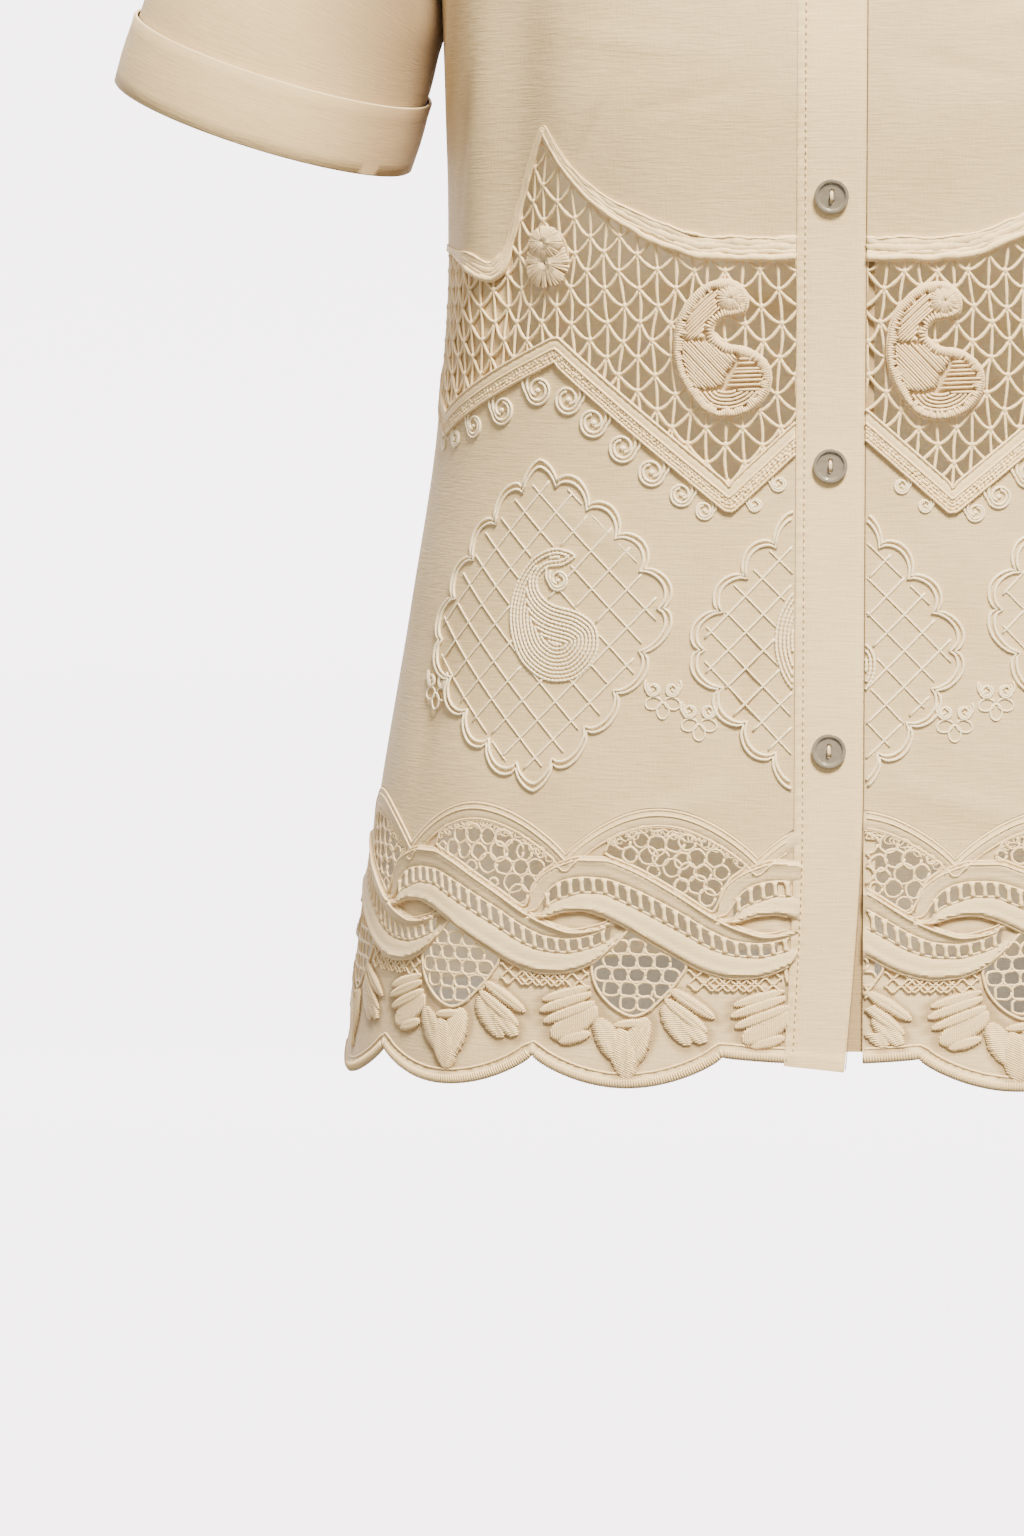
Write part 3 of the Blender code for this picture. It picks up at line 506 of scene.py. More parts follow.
class Signal:
    """A number or colour on its way through a material's nodes."""

    def __init__(self, finish, socket):
        self.finish, self.socket = finish, socket

    def sum_with(self, operation, first, second):
        return self.finish.node("ShaderNodeMath", {"operation": operation}, {0: first, 1: second})

    def __add__(self, other):
        return self.sum_with("ADD", self, other)

    def __radd__(self, other):
        return self.sum_with("ADD", other, self)

    def __sub__(self, other):
        return self.sum_with("SUBTRACT", self, other)

    def __rsub__(self, other):
        return self.sum_with("SUBTRACT", other, self)

    def __mul__(self, other):
        return self.sum_with("MULTIPLY", self, other)

    def __rmul__(self, other):
        return self.sum_with("MULTIPLY", other, self)


class Finish:
    """A material, made node by node."""

    def __init__(self, name):
        self.material = bpy.data.materials.new(name)
        self.material.use_nodes = True
        self.tree = self.material.node_tree
        self.shader = self.tree.nodes["Principled BSDF"]

    def feed(self, socket, value):
        if isinstance(value, Signal):
            self.tree.links.new(value.socket, socket)
        else:
            socket.default_value = value

    def node(self, kind, settings=None, values=None, out=0):
        """A node with its settings made first, then its sockets' values or links."""
        made = self.tree.nodes.new(kind)
        for key, value in (settings or {}).items():
            setattr(made, key, value)
        for key, value in (values or {}).items():
            self.feed(made.inputs[key], value)
        return Signal(self, made.outputs[out])

    def surface(self, **values):
        for key, value in values.items():
            self.feed(self.shader.inputs[key.replace("_", " ")], value)
        return self.material

    def place(self):
        return self.node("ShaderNodeUVMap", {"uv_map": "flat"})

    def noise(self, vector, scale, detail=2.0, rough=0.5):
        """Grain with a scale for each direction, in grains to the metre."""
        stretched = self.node("ShaderNodeMapping", None, {"Vector": vector, "Scale": scale})
        return self.node("ShaderNodeTexNoise", None,
                         {"Vector": stretched, "Scale": 1.0, "Detail": detail,
                          "Roughness": rough})

    def blend(self, share, first, second):
        return self.node("ShaderNodeMix", {"data_type": "RGBA"},
                         {0: share, 6: first, 7: second}, out=2)

    def bump(self, height, strength, distance):
        return self.node("ShaderNodeBump", None,
                         {"Height": height, "Strength": strength, "Distance": distance})


def linen_finish(name, light, dark, slub=0.55, painted_shade_share=0.30, painted_highlight_share=0.12):
    """Plain weave with thick and thin threads and faint crinkles, with painted shade where it lies low
    and painted highlight where it stands high.
    """
    finish = Finish(name)
    place = finish.place()
    weft = finish.noise(place, (95, 1000, 1), 2.0, 0.6)
    warp = finish.noise(place, (1150, 150, 1), 2.0, 0.6)
    wide = finish.noise(place, (26, 26, 1), 3.0, 0.55)
    crinkle = finish.noise(place, (70, 330, 1), 1.0, 0.5)
    tone = weft * 0.58 + warp * 0.27 + wide * 0.40
    painted_shading = finish.node("ShaderNodeAttribute", {"attribute_name": "painted_shading"}, out=2)
    colour = finish.blend(tone * 2.3 - 0.86, dark, light)
    colour = finish.blend(painted_shading * painted_shade_share, colour, PAINTED_SHADE)
    colour = finish.blend(painted_shading * -painted_highlight_share, colour, PAINTED_HIGHLIGHT)
    relief = weft * 0.6 + warp * 0.5 + crinkle * 0.30
    return finish.surface(Base_Color=colour, Roughness=0.88, Sheen_Weight=0.12,
                          Normal=finish.bump(relief, slub, 0.0006))


def dress(piece, finish, node=None):
    """Gives a piece its finish, hangs it on the root and hides the plain solid that it stands for."""
    piece.data.materials.append(finish)
    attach(piece, "root")
    if node:
        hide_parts(node)


front = Surface(FRONT_YOKE, FRONT_FOLDS, -1)
yoke_height = edge_curve(YOKE_EDGE)
linen = linen_finish("slub_linen", LINEN_LIGHT, LINEN_DARK)
for side, letter in SIDES.items():
    corners = [side * row[0] for row in YOKE_EDGE if row[2]]
    lower = edge_points(front, side, yoke_height, 0.003, corners)
    near = float(front_edge(side, PLACKET_TOP))
    top = front.levels[-1]
    above = front.levels > PLACKET_TOP
    neck_foot = np.interp(abs(near), front.starts[above], front.levels[above])
    neck = [(side * front.start(level), level) for level in run(neck_foot, top, 0.004)]
    inner = [(near, level) for level in run(lower[-1][1], neck_foot, 0.004)[1:-1]]
    seam = [(side * u, top) for u in run(front.start(top), front.girth(top), 0.004)[1:-1]]
    arm = side_points(front, side, top, lower[0][1])[:-1]
    upper = cloth("front_upper_" + letter + "_linen", front, lower + inner + neck + seam + arm,
                  UPPER_STEP, relief=creases(UPPER_CREASES))
    dress(upper, linen, "front_upper_" + letter)
    area_of(upper)

# Lower fronts: the same linen below the chevron band, on which the corded motifs are sewn. The
# foot is cut along the hills of the hem lace, which is sewn under it.
CHEVRON = {
    -1: (
        (0.0000, -0.4160, True),
        (0.0430, -0.4562, True),
        (0.1215, -0.3925, True),
        (0.1985, -0.4262, True),
        (0.2700, -0.3950, True),
    ),
    1: (
        (0.0000, -0.4110, True),
        (0.0520, -0.4565, True),
        (0.1300, -0.3925, True),
        (0.2070, -0.4262, True),
        (0.2750, -0.3960, True),
    ),
}
REPEAT = 0.0840
HILL_CUSP = -0.0300
HILL_LOW = -0.6080
HILL_RISE = 0.0205
LOWER_CREASES = (
    (-0.070, -0.590, 0.030, 0.0060, 20, 0.0008),
    (-0.190, -0.560, 0.034, 0.0080, 75, -0.0014),
    (-0.222, -0.500, 0.040, 0.0070, 84, 0.0012),
    (-0.035, -0.540, 0.024, 0.0050, 80, -0.0007),
    (0.060, -0.585, 0.030, 0.0060, -15, 0.0008),
    (0.185, -0.540, 0.036, 0.0080, -78, -0.0013),
    (-0.100, -0.470, 0.030, 0.0050, -30, 0.0006),
)


def hill_edge(u):
    """Top edge of the hem lace, a hill between each pair of cusps."""
    phase = np.mod((np.asarray(u, float) - HILL_CUSP) / REPEAT, 1.0)
    return HILL_LOW + HILL_RISE * np.sin(math.pi * phase) ** 0.85


def repeats(first, side):
    """Where a feature of each repeat falls on one front."""
    places = [first + REPEAT * k for k in range(-4, 5)]
    return [place for place in places if place * side > 0]


band_height = {side: edge_curve(table) for side, table in CHEVRON.items()}
band_corners = {side: [side * row[0] for row in table] for side, table in CHEVRON.items()}
for side, letter in SIDES.items():
    upper_edge = edge_points(front, side, band_height[side], 0.003, band_corners[side])
    lower_edge = edge_points(front, side, hill_edge, 0.003, repeats(HILL_CUSP, side))
    panel = cloth("lower_panel_" + letter + "_linen", front,
                  between(front, side, upper_edge, lower_edge), UPPER_STEP,
                  relief=creases(LOWER_CREASES))
    dress(panel, linen, "lower_panel_" + letter)
    area_of(panel)

# Back: one piece of the same linen, with a straight hem that drops a little at the side seams.
# Nothing of it shows from the front but its inside, through the lace.
BACK_YOKE = (
    (-0.178, 0.0000, 0.1175, -0.180, 0.1735, 0.034, -0.195, 80),
    (-0.146, 0.0000, 0.1170, -0.146, 0.1695, 0.052, -0.170, 70),
    (-0.115, 0.0000, 0.1120, -0.112, 0.1670, 0.060, -0.140, 62),
    (-0.085, 0.0000, 0.1010, -0.078, 0.1670, 0.060, -0.110, 55),
    (-0.058, 0.0000, 0.0830, -0.046, 0.1710, 0.051, -0.085, 48),
    (-0.029, 0.0000, 0.0560, -0.022, 0.1785, 0.036, -0.062, 40),
    (-0.022, 0.0180, 0.0548, -0.0208, 0.1808, 0.0315, -0.058, 37),
    (-0.014, 0.0380, 0.0490, -0.0168, 0.1835, 0.0260, -0.0535, 34),
    (-0.005, 0.0570, 0.0360, -0.0095, 0.1862, 0.0200, -0.0490, 30),
    (0.010, 0.0725, 0.0130, -0.0012, 0.1898, 0.009, -0.0452, 20),
    (0.016, 0.0740, 0.0027, 0.000, 0.1900, 0.0037, -0.045, 20),
)
BACK_FOLDS = (
    (-1, 0.070, -0.160, 0.082, -0.520, 0.022, -0.0045),
    (-1, 0.120, -0.220, 0.128, -0.600, 0.022, 0.0040),
    (1, 0.064, -0.180, 0.074, -0.540, 0.022, -0.0045),
    (1, 0.114, -0.210, 0.124, -0.620, 0.022, 0.0040),
    (-1, 0.020, -0.420, 0.028, -0.720, 0.020, 0.0035),
    (1, 0.032, -0.460, 0.040, -0.720, 0.020, -0.0030),
)
BACK_CREASES = (
    (-0.150, -0.230, 0.050, 0.0090, 40, 0.0020),
    (0.146, -0.240, 0.052, 0.0085, -38, 0.0018),
    (-0.100, -0.150, 0.045, 0.0080, 25, -0.0014),
    (0.096, -0.146, 0.048, 0.0080, -28, -0.0016),
    (0.010, -0.340, 0.060, 0.0070, 6, 0.0010),
    (-0.040, -0.372, 0.050, 0.0070, -9, -0.0012),
    (0.070, -0.400, 0.044, 0.0070, 12, 0.0011),
    (-0.190, -0.380, 0.050, 0.0080, 62, -0.0016),
    (0.196, -0.410, 0.046, 0.0080, -66, -0.0015),
    (0.090, -0.620, 0.050, 0.0100, 84, 0.0020),
    (-0.120, -0.640, 0.046, 0.0090, 82, 0.0018),
)
BACK_HEM = -0.6830
BACK_SIDE_DROP = 0.0230
BACK_NECK = -0.0290
BACK_STEP = 0.0052
# The inside of the back, a much paler copy of the linen as painted light on what shows through the
# lace, which also lets some light through; and the net border
PAINTED_INSIDE_LIGHT, PAINTED_INSIDE_DARK = (0.84, 0.79, 0.70, 1.0), (0.72, 0.67, 0.58, 1.0)
LIGHT_THROUGH = (("Subsurface Weight", 0.22), ("Subsurface Radius", (1.0, 0.7, 0.45)),
                 ("Subsurface Scale", 0.004))
OUTSIDE_LIGHT, OUTSIDE_DARK = (0.76, 0.60, 0.365, 1.0), (0.56, 0.43, 0.25, 1.0)
PAINTED_BORDER_LIGHT, PAINTED_BORDER_DARK = (0.90, 0.88, 0.85, 1.0), (0.80, 0.77, 0.73, 1.0)
BORDER_FOOT = -0.7180
BORDER_IN = 0.004                    # from the side seams
BORDER_LAP = 0.003                   # under the back's hem
BORDER_LIFT = -0.0014
BORDER_STEP = 0.004

back = Surface(BACK_YOKE, BACK_FOLDS, 1)
top = back.levels[-1]
hem = BACK_HEM - BACK_SIDE_DROP
girth = back.girth(hem)
right_half = side_points(back, 1, hem, top)
right_half += [(u, top) for u in run(back.girth(top), back.start(top), 0.005)[1:-1]]
right_half += [(back.start(level), level) for level in run(top, BACK_NECK, 0.003)][:-1]
hem_line = [(u, BACK_HEM + (hem - BACK_HEM) * (u / girth) ** 2)
            for u in run(-girth, girth, 0.005)[1:-1]]
back_sheet = cloth("back_linen", back,
                   hem_line + right_half + [(0.0, BACK_NECK)] + [(-u, z) for u, z in right_half][::-1],
                   BACK_STEP, relief=creases(BACK_CREASES), two_sided=True)
dress(back_sheet, linen, "back")
inside_painted_light = linen_finish("linen_inside_painted_light", PAINTED_INSIDE_LIGHT, PAINTED_INSIDE_DARK)
for socket, value in LIGHT_THROUGH:
    inside_painted_light.node_tree.nodes["Principled BSDF"].inputs[socket].default_value = value
back_sheet.data.materials.append(inside_painted_light)
area_of(back_sheet)

us = run(-girth + BORDER_IN, girth - BORDER_IN, 0.006)
hem_heights = BACK_HEM + (hem - BACK_HEM) * (us / girth) ** 2
foot_heights = BORDER_FOOT + (hem - BORDER_FOOT) * np.abs(us / girth) ** 4
border = cloth("back_hem_border", back,
               list(zip(us, foot_heights)) + list(zip(us[::-1], hem_heights[::-1] + BORDER_LAP)),
               BORDER_STEP, relief=lambda u, z: creases(BACK_CREASES)(u, z) + BORDER_LIFT,
               two_sided=True)
# The border's outside has a linen colour; its inside, which shows through the front lace, is a much
# paler copy as painted light.
dress(border, linen_finish("fine_net_outside", OUTSIDE_LIGHT, OUTSIDE_DARK, 0.9))
border.data.materials.append(linen_finish("fine_net_inside_painted_light", PAINTED_BORDER_LIGHT, PAINTED_BORDER_DARK))
area_of(border)

# Placket and under placket: the buttonhole band is a folded strip stitched down along its left
# edge, and the button band of the other front lies behind it and shows beside it at the foot.
PLACKET_LIFT = 0.0006
PLACKET_FOOT = (-0.6969, -0.6995)    # left and right
PLACKET_STEP = 0.0019
STITCH_INSET = 0.0036
STITCH_PITCH = 0.0031
STITCH_LENGTH = 0.0021
FOLD_DEPTH = 0.0066                  # the turned-up hem at the foot
UNDER_NEAR, UNDER_FAR, UNDER_FOOT = -0.0125, 0.0185, -0.6908
UNDER_LIFT = -0.0021
BAND_LIGHT, BAND_DARK = (0.84, 0.655, 0.385, 1.0), (0.72, 0.55, 0.31, 1.0)
# The under band's linen is a much darker copy: painted shade for where it lies back behind the
# placket.
UNDER_SHADE_LIGHT, UNDER_SHADE_DARK = (0.44, 0.315, 0.165, 1.0), (0.42, 0.305, 0.17, 1.0)
THREAD = (0.86, 0.70, 0.45, 1.0)
THREAD_DARK = (0.76, 0.59, 0.35, 1.0)


def round_angles(count):
    """Even angles once round."""
    return np.linspace(0, 2 * math.pi, count + 1)[:-1]


class Threads:
    """Sewn, twisted and wrapped threads and cords, gathered into one mesh."""

    def __init__(self):
        self.points, self.faces, self.flat, self.count = [], [], [], 0

    def add(self, path, outward, wide, high=None, sides=6, closed=False, rise=0.0):
        """A cord along a path, wide across the cloth and high off it; widths may vary."""
        path, outward = np.asarray(path, float), np.asarray(outward, float)
        n = len(path)
        high = wide if high is None else high
        wide, high = np.broadcast_to(wide, n), np.broadcast_to(high, n)
        if closed:
            way = np.roll(path, -1, axis=0) - np.roll(path, 1, axis=0)
        else:
            way = np.gradient(path, axis=0)
        way /= np.maximum(np.linalg.norm(way, axis=1, keepdims=True), 1e-9)
        across = np.cross(way, outward)
        across /= np.maximum(np.linalg.norm(across, axis=1, keepdims=True), 1e-9)
        up = np.cross(across, way)
        angle = round_angles(sides)
        ring = (across[:, None] * (np.cos(angle)[None, :, None] * wide[:, None, None] / 2)
                + up[:, None] * (np.sin(angle)[None, :, None] * high[:, None, None] / 2))
        points = path[:, None] + ring + up[:, None] * rise
        arc = distance_along(path)
        flat = np.stack(np.broadcast_arrays(arc[:, None], angle[None, :] * 0.001), axis=2)
        last = n if closed else n - 1
        for r in range(last):
            a, b = self.count + r * sides, self.count + ((r + 1) % n) * sides
            self.faces += [(a + k, b + k, b + (k + 1) % sides, a + (k + 1) % sides)
                           for k in range(sides)]
        if not closed:
            self.faces.append(tuple(self.count + k for k in range(sides)))
            end = self.count + (n - 1) * sides
            self.faces.append(tuple(end + k for k in reversed(range(sides))))
        self.points.append(points.reshape(-1, 3))
        self.flat.append(flat.reshape(-1, 2))
        self.count += n * sides

    def mesh(self, name):
        mesh = bpy.data.meshes.new(name)
        mesh.from_pydata(np.concatenate(self.points).tolist(), [], self.faces)
        set_flat(mesh, np.concatenate(self.flat))
        mesh.shade_smooth()
        return linked(name, mesh)


def walk(points, step, closed=False, smooth=True):
    """Even stations on the curve through a few points of the flat cloth."""
    points = np.asarray(points, float)
    if closed:
        points = np.vstack([points, points[:1]])
    if smooth and len(points) > 2:
        ends = (points[-2], points[1]) if closed else (points[0], points[-1])
        padded = np.vstack([ends[0], points, ends[1]])
        t = np.linspace(0, 1, 9)[:-1, None]
        parts = []
        for a, b, c, d in zip(padded[:-3], padded[1:-2], padded[2:-1], padded[3:]):
            parts.append(0.5 * (2 * b + (c - a) * t + (2 * a - 5 * b + 4 * c - d) * t ** 2
                                + (3 * b - a - 3 * c + d) * t ** 3))
        points = np.vstack(parts + [points[-1:]])
    arc = distance_along(points)
    count = max(2, int(round(arc[-1] / step)) + 1)
    at = np.linspace(0, arc[-1], count)
    return stations_at(at[:-1] if closed else at, arc, points)


def sewn(threads, surface, flat, wide, high=None, lift=0.0, **options):
    """A thread laid on the cloth along points of the flat pattern."""
    flat = np.asarray(flat, float)
    u, z = flat[:, 0], flat[:, 1]
    threads.add(surface.at(u, z, lift), surface.outward(u, z), wide, high, **options)


def thread_finish(name, light, dark, wraps=900.0, depth=0.0003):
    """Cotton thread, with its wraps or twist across the cord."""
    finish = Finish(name)
    place = finish.place()
    wrap = finish.noise(place, (wraps, 900, 1), 1.0, 0.5)
    mottle = finish.noise(place, (90, 300, 1), 2.0, 0.6)
    colour = finish.blend(wrap * 0.7 + mottle * 0.6 - 0.15, dark, light)
    return finish.surface(Base_Color=colour, Roughness=0.74, Sheen_Weight=0.15,
                          Normal=finish.bump(wrap + mottle * 0.5, 0.8, depth))


def raised(height):
    """Relief of a piece that lies at one height all over."""
    return lambda u, z: height + 0 * u


def placket_relief(u, z):
    """Stitched-down edge, puckers beside the stitches and the turned-up foot."""
    inset = u - placket_left(z)
    groove = -0.00045 * np.exp(-((inset - STITCH_INSET) / 0.0008) ** 2)
    puckers = 0.00022 * np.sin(z * 2 * math.pi / 0.0062) * np.exp(-(inset / 0.0045) ** 2)
    edge = -0.0004 * np.exp(-(inset / 0.0006) ** 2)
    edge -= 0.0005 * np.exp(-((placket_right(z) - u) / 0.0007) ** 2)
    share = (u - placket_left(z)) / (2 * PLACKET_HALF)
    foot = PLACKET_FOOT[0] + (PLACKET_FOOT[1] - PLACKET_FOOT[0]) * np.clip(share, 0, 1)
    turned = 0.0003 * (1 - np.tanh((z - foot - FOLD_DEPTH) / 0.0008))
    return PLACKET_LIFT + groove + puckers + edge + turned


levels = run(PLACKET_FOOT[1], PLACKET_TOP, 0.0035)
left_edge = [(float(placket_left(z)), z) for z in levels[::-1] if z > PLACKET_FOOT[0] + 0.001]
left_edge.append((float(placket_left(PLACKET_FOOT[0])), PLACKET_FOOT[0]))
right_edge = [(float(placket_right(z)), z) for z in levels]
head = [(u, PLACKET_TOP) for u in run(PLACKET_HALF, -PLACKET_HALF, 0.0035)[1:-1]]
foot_line = [(left_edge[-1][0] + (right_edge[0][0] - left_edge[-1][0]) * t,
              PLACKET_FOOT[0] + (PLACKET_FOOT[1] - PLACKET_FOOT[0]) * t)
             for t in np.linspace(0, 1, 9)[1:-1]]
placket = cloth("placket_band", front, right_edge + head + left_edge + foot_line, PLACKET_STEP,
                relief=placket_relief, thick=0.0012)
band_linen = linen_finish("band_linen", BAND_LIGHT, BAND_DARK, 0.5)
dress(placket, band_linen, "placket")

levels = run(UNDER_FOOT, PLACKET_TOP - 0.004, 0.006)
under = cloth("under_placket_band", front,
              [(UNDER_FAR, z) for z in levels] + [(UNDER_NEAR, z) for z in levels[::-1]], 0.005,
              relief=raised(UNDER_LIFT), thick=0.0010)
dress(under, linen_finish("under_linen_painted_shade", UNDER_SHADE_LIGHT, UNDER_SHADE_DARK), "under_placket")

thread = thread_finish("sewing_cotton", THREAD, THREAD_DARK)
stitches = Threads()
for level in np.arange(PLACKET_FOOT[0] + 0.004, PLACKET_TOP - 0.004, STITCH_PITCH):
    ends = np.array([level - STITCH_LENGTH / 2, level, level + STITCH_LENGTH / 2])
    line = pairs(placket_left(ends) + STITCH_INSET, ends)
    sewn(stitches, front, line, np.array([0.0003, 0.0006, 0.0003]), lift=PLACKET_LIFT,
         sides=5, rise=0.0001)
stitched = stitches.mesh("placket_stitches")
# Two dark brown threads along the placket's right edge: painted shadow of the gap beside it.
shadow_threads = Threads()
levels = run(PLACKET_FOOT[1] + 0.001, PLACKET_TOP - 0.004, 0.004)
for off, wide in ((0.0004, 0.00045), (-0.0014, 0.00030)):
    sewn(shadow_threads, front, pairs(placket_right(levels) + off, levels), wide,
         lift=PLACKET_LIFT - 0.0004, sides=5)
shadow_lines = shadow_threads.mesh("placket_edge_painted_shadow")
dress(shadow_lines, thread_finish("painted_shadow_thread", (0.40, 0.28, 0.155, 1.0), (0.28, 0.19, 0.10, 1.0)))
dress(stitched, thread)

# Sleeves and cuffs: short set-in sleeves of the same linen, each a tube from the armhole down,
# with a separate cuff turned up and pressed round its end.
# centre of the cuff's lower edge, half width, half depth, tilt from upright and forward
CUFF = (0.2548, -0.0050, -0.2930, 0.0698, 0.0610, 17.4, 11.0)
CUFF_HEIGHT = 0.0315
CUFF_SHELL = 0.0014
SLEEVE_WALL = 0.0015
SLEEVE_LAY = 0.0006
SLEEVE_IN = 0.0020                   # the sleeve's end stays this far inside the cuff's edge
SLEEVE_SIDES = 130
SLEEVE_ROWS = 34
# degrees round from the outside, share down, reach of each, height
SLEEVE_CREASES = (
    (300, 0.35, 24, 0.30, 0.0040),
    (262, 0.45, 18, 0.26, -0.0032),
    (232, 0.40, 20, 0.30, 0.0034),
    (330, 0.55, 20, 0.25, -0.0026),
    (183, 0.50, 26, 0.24, 0.0042),
    (120, 0.40, 26, 0.30, 0.0036),
    (80, 0.50, 20, 0.28, -0.0030),
    (150, 0.62, 20, 0.24, 0.0024),
    (30, 0.45, 22, 0.26, 0.0022),
)


def even_loop(points, count):
    """Even stations round a closed loop, from its first point."""
    closed = np.vstack([points, points[:1]])
    arc = distance_along(closed)
    return stations_at(np.linspace(0, arc[-1], count + 1)[:-1], arc, closed)


def lofted(name, rings, closed, thick, offset, shade=None):
    """An open sheet through rings of points, with its length and girth as its flat map."""
    rings = np.asarray(rings)
    if closed:
        rings = np.concatenate([rings, rings[:, :1]], axis=1)
    rows, count = rings.shape[:2]
    around = np.linalg.norm(np.diff(rings, axis=1), axis=2).mean(axis=0)
    down = np.linalg.norm(np.diff(rings, axis=0), axis=2).mean(axis=1)
    around = np.concatenate([[0], np.cumsum(around)])
    down = np.concatenate([[0], np.cumsum(down)])
    flat = np.stack(np.meshgrid(around, down), axis=2).reshape(-1, 2)
    mesh = bpy.data.meshes.new(name)
    faces = [(r * count + k, r * count + k + 1, (r + 1) * count + k + 1, (r + 1) * count + k)
             for r in range(rows - 1) for k in range(count - 1)]
    mesh.from_pydata(rings.reshape(-1, 3).tolist(), [], faces)
    set_flat(mesh, flat)
    # Painted shade and highlight, if given, kept for the finish.
    if shade:
        set_painted_shading(mesh, shade(rings.reshape(-1, 3)))
    thing = linked(name, mesh)
    if closed:
        weld = thing.modifiers.new("Join", "WELD")
        weld.merge_threshold = 0.00001
    add_wall(thing, thick, offset)
    return settle(thing)


top = front.levels[-1]
levels = run(top, UNDERARM, 0.003)
ahead = front.at(front.girth(levels), levels)
behind = back.at(back.girth(levels), levels)[::-1]
arm_loop = even_loop(np.vstack([ahead[1:], behind[1:-1]]), SLEEVE_SIDES)
middle = arm_loop.mean(axis=0)
x, y, z, half_wide, half_deep, tilt, lean = CUFF
tilt, lean = math.radians(tilt), math.radians(lean)
wide = np.array([math.cos(tilt), 0, math.sin(tilt)])
deep = np.array([0, -math.cos(lean), -math.sin(lean)])
axis = np.array([math.sin(tilt), 0, -math.cos(tilt)])
angle = round_angles(SLEEVE_SIDES)
unit = wide * np.cos(angle)[:, None] * half_wide + deep * np.sin(angle)[:, None] * half_deep
centre = np.array([x, y, z])
height = (arm_loop[:, 2] - arm_loop[:, 2].min()) / np.ptp(arm_loop[:, 2])
start = arm_loop + np.array([1.0, 0, 0]) * (0.0008 + 0.0016 * (1 - height))[:, None]
leave = normed(np.stack([0.10 + 0.62 * height ** 1.3, 0.10 * (arm_loop[:, 1] - middle[1]) / 0.06,
                         -1.0 + 0.25 * height], axis=1))
shrink = 1 - (SLEEVE_WALL + SLEEVE_LAY) / half_deep
foot = centre + unit * shrink - axis * SLEEVE_LAY
end = foot - axis * (CUFF_HEIGHT + 0.004)
span = np.linalg.norm(end - start, axis=1, keepdims=True)
rings = []
for t in np.linspace(0, 1, SLEEVE_ROWS):
    ring = ((2 * t ** 3 - 3 * t ** 2 + 1) * start + (t ** 3 - 2 * t ** 2 + t) * leave * span
            + (3 * t ** 2 - 2 * t ** 3) * end + (t ** 3 - t ** 2) * axis * span)
    away = normed(unit)
    swell = np.zeros(SLEEVE_SIDES)
    for at_angle, share, reach, reach_down, rise in SLEEVE_CREASES:
        gap = np.mod(np.degrees(angle) - at_angle + 40 * (t - share) + 180, 360) - 180
        swell += rise * np.exp(-(gap / reach) ** 2 - ((t - share) / reach_down) ** 2)
    rings.append(ring + away * (swell * math.sin(math.pi * t) ** 0.6)[:, None])
rings = np.array(rings + [foot - axis * CUFF_HEIGHT / 2, foot - axis * SLEEVE_IN])
cuff_rows = [(1.0, -0.0012), (1.006, -0.0003), (0.985, 0.0001), (0.8, 0.0), (0.6, 0.0003),
             (0.4, 0.0004), (0.2, 0.0002), (0.015, 0.0), (-0.004, -0.0006), (0.01, -0.0014)]
cuff_rings = np.array([centre + unit * (1 + grow / half_deep) - axis * CUFF_HEIGHT * rise
                       for rise, grow in cuff_rows])


def arm_shade(points):
    """Painted shade on the side next to the body, deepest at the cuff's inner corner."""
    across = np.clip((0.236 - np.abs(points[:, 0])) / 0.052, 0, 1)
    down = np.clip((-0.10 - points[:, 2]) / 0.16, 0, 1)
    return 0.95 * across ** 1.2 * down


def cuff_shade(points):
    """The same painted shade, and a painted highlight along the turned edge."""
    shade = arm_shade(points)
    shade[:2 * (SLEEVE_SIDES + 1)] = -1.0
    return shade


# The sleeves and cuffs take much stronger painted shade and painted highlight than the body's linen.
sleeve_linen = linen_finish("sleeve_linen", (0.69, 0.53, 0.305, 1.0), (0.56, 0.42, 0.23, 1.0),
                            0.35, 0.95, 0.6)
for side, letter in SIDES.items():
    mirror = np.array([side, 1, 1])
    order = slice(None) if side > 0 else slice(None, None, -1)
    sleeve = lofted("sleeve_" + letter + "_linen", (rings * mirror)[:, order], True,
                    SLEEVE_WALL * 0.7, -1.0, arm_shade)
    cuff = lofted("cuff_" + letter + "_band", (cuff_rings * mirror)[:, order], True,
                  CUFF_SHELL * 0.5, -1.0, cuff_shade)
    for piece, node in ((sleeve, "sleeve_" + letter), (cuff, "cuff_" + letter)):
        dress(piece, sleeve_linen, node)
    area_of(sleeve)

# Collar: a plain stand round the neck, buttoned at the front, and a fall turned down over it.
COLLAR_STAND = 0.030
NECK_LIFT = 0.0015
FALL_LIFT = 0.0010
NECK_STATIONS = 15                   # round half the neck
COLLAR_STATIONS = 70
COLLAR_WALL = 0.0015

ahead = front.at(front.starts + 1e-6, front.levels)[front.starts > PLACKET_HALF + SEAM]
behind = back.at(back.starts + 1e-6, back.levels)[back.levels > BACK_NECK][::-1]
half = np.vstack([[[PLACKET_HALF * 0.02, -0.0860, -0.100], [PLACKET_HALF, -0.0848, -0.0970]],
                  ahead, behind, [[0.0005, behind[-1][1], behind[-1][2]]]])
arc = distance_along(half)
half = stations_at(np.linspace(0, arc[-1], NECK_STATIONS), arc, half)
neck = np.vstack([half, (half[:-1] * [-1, 1, 1])[::-1]])
away = normed((neck - [0, -0.012, 0]) * [1, 1, 0])
ahead_share = np.clip(-away[:, 1], 0, 1)[:, None]
way = normed(np.gradient(neck, axis=0))
up = np.array([0, 0, 1.0]) - away * (0.16 + 0.25 * ahead_share)
up -= 0.6 * way * (up * way).sum(axis=1, keepdims=True)
up = normed(up)
out = np.cross(up, way)
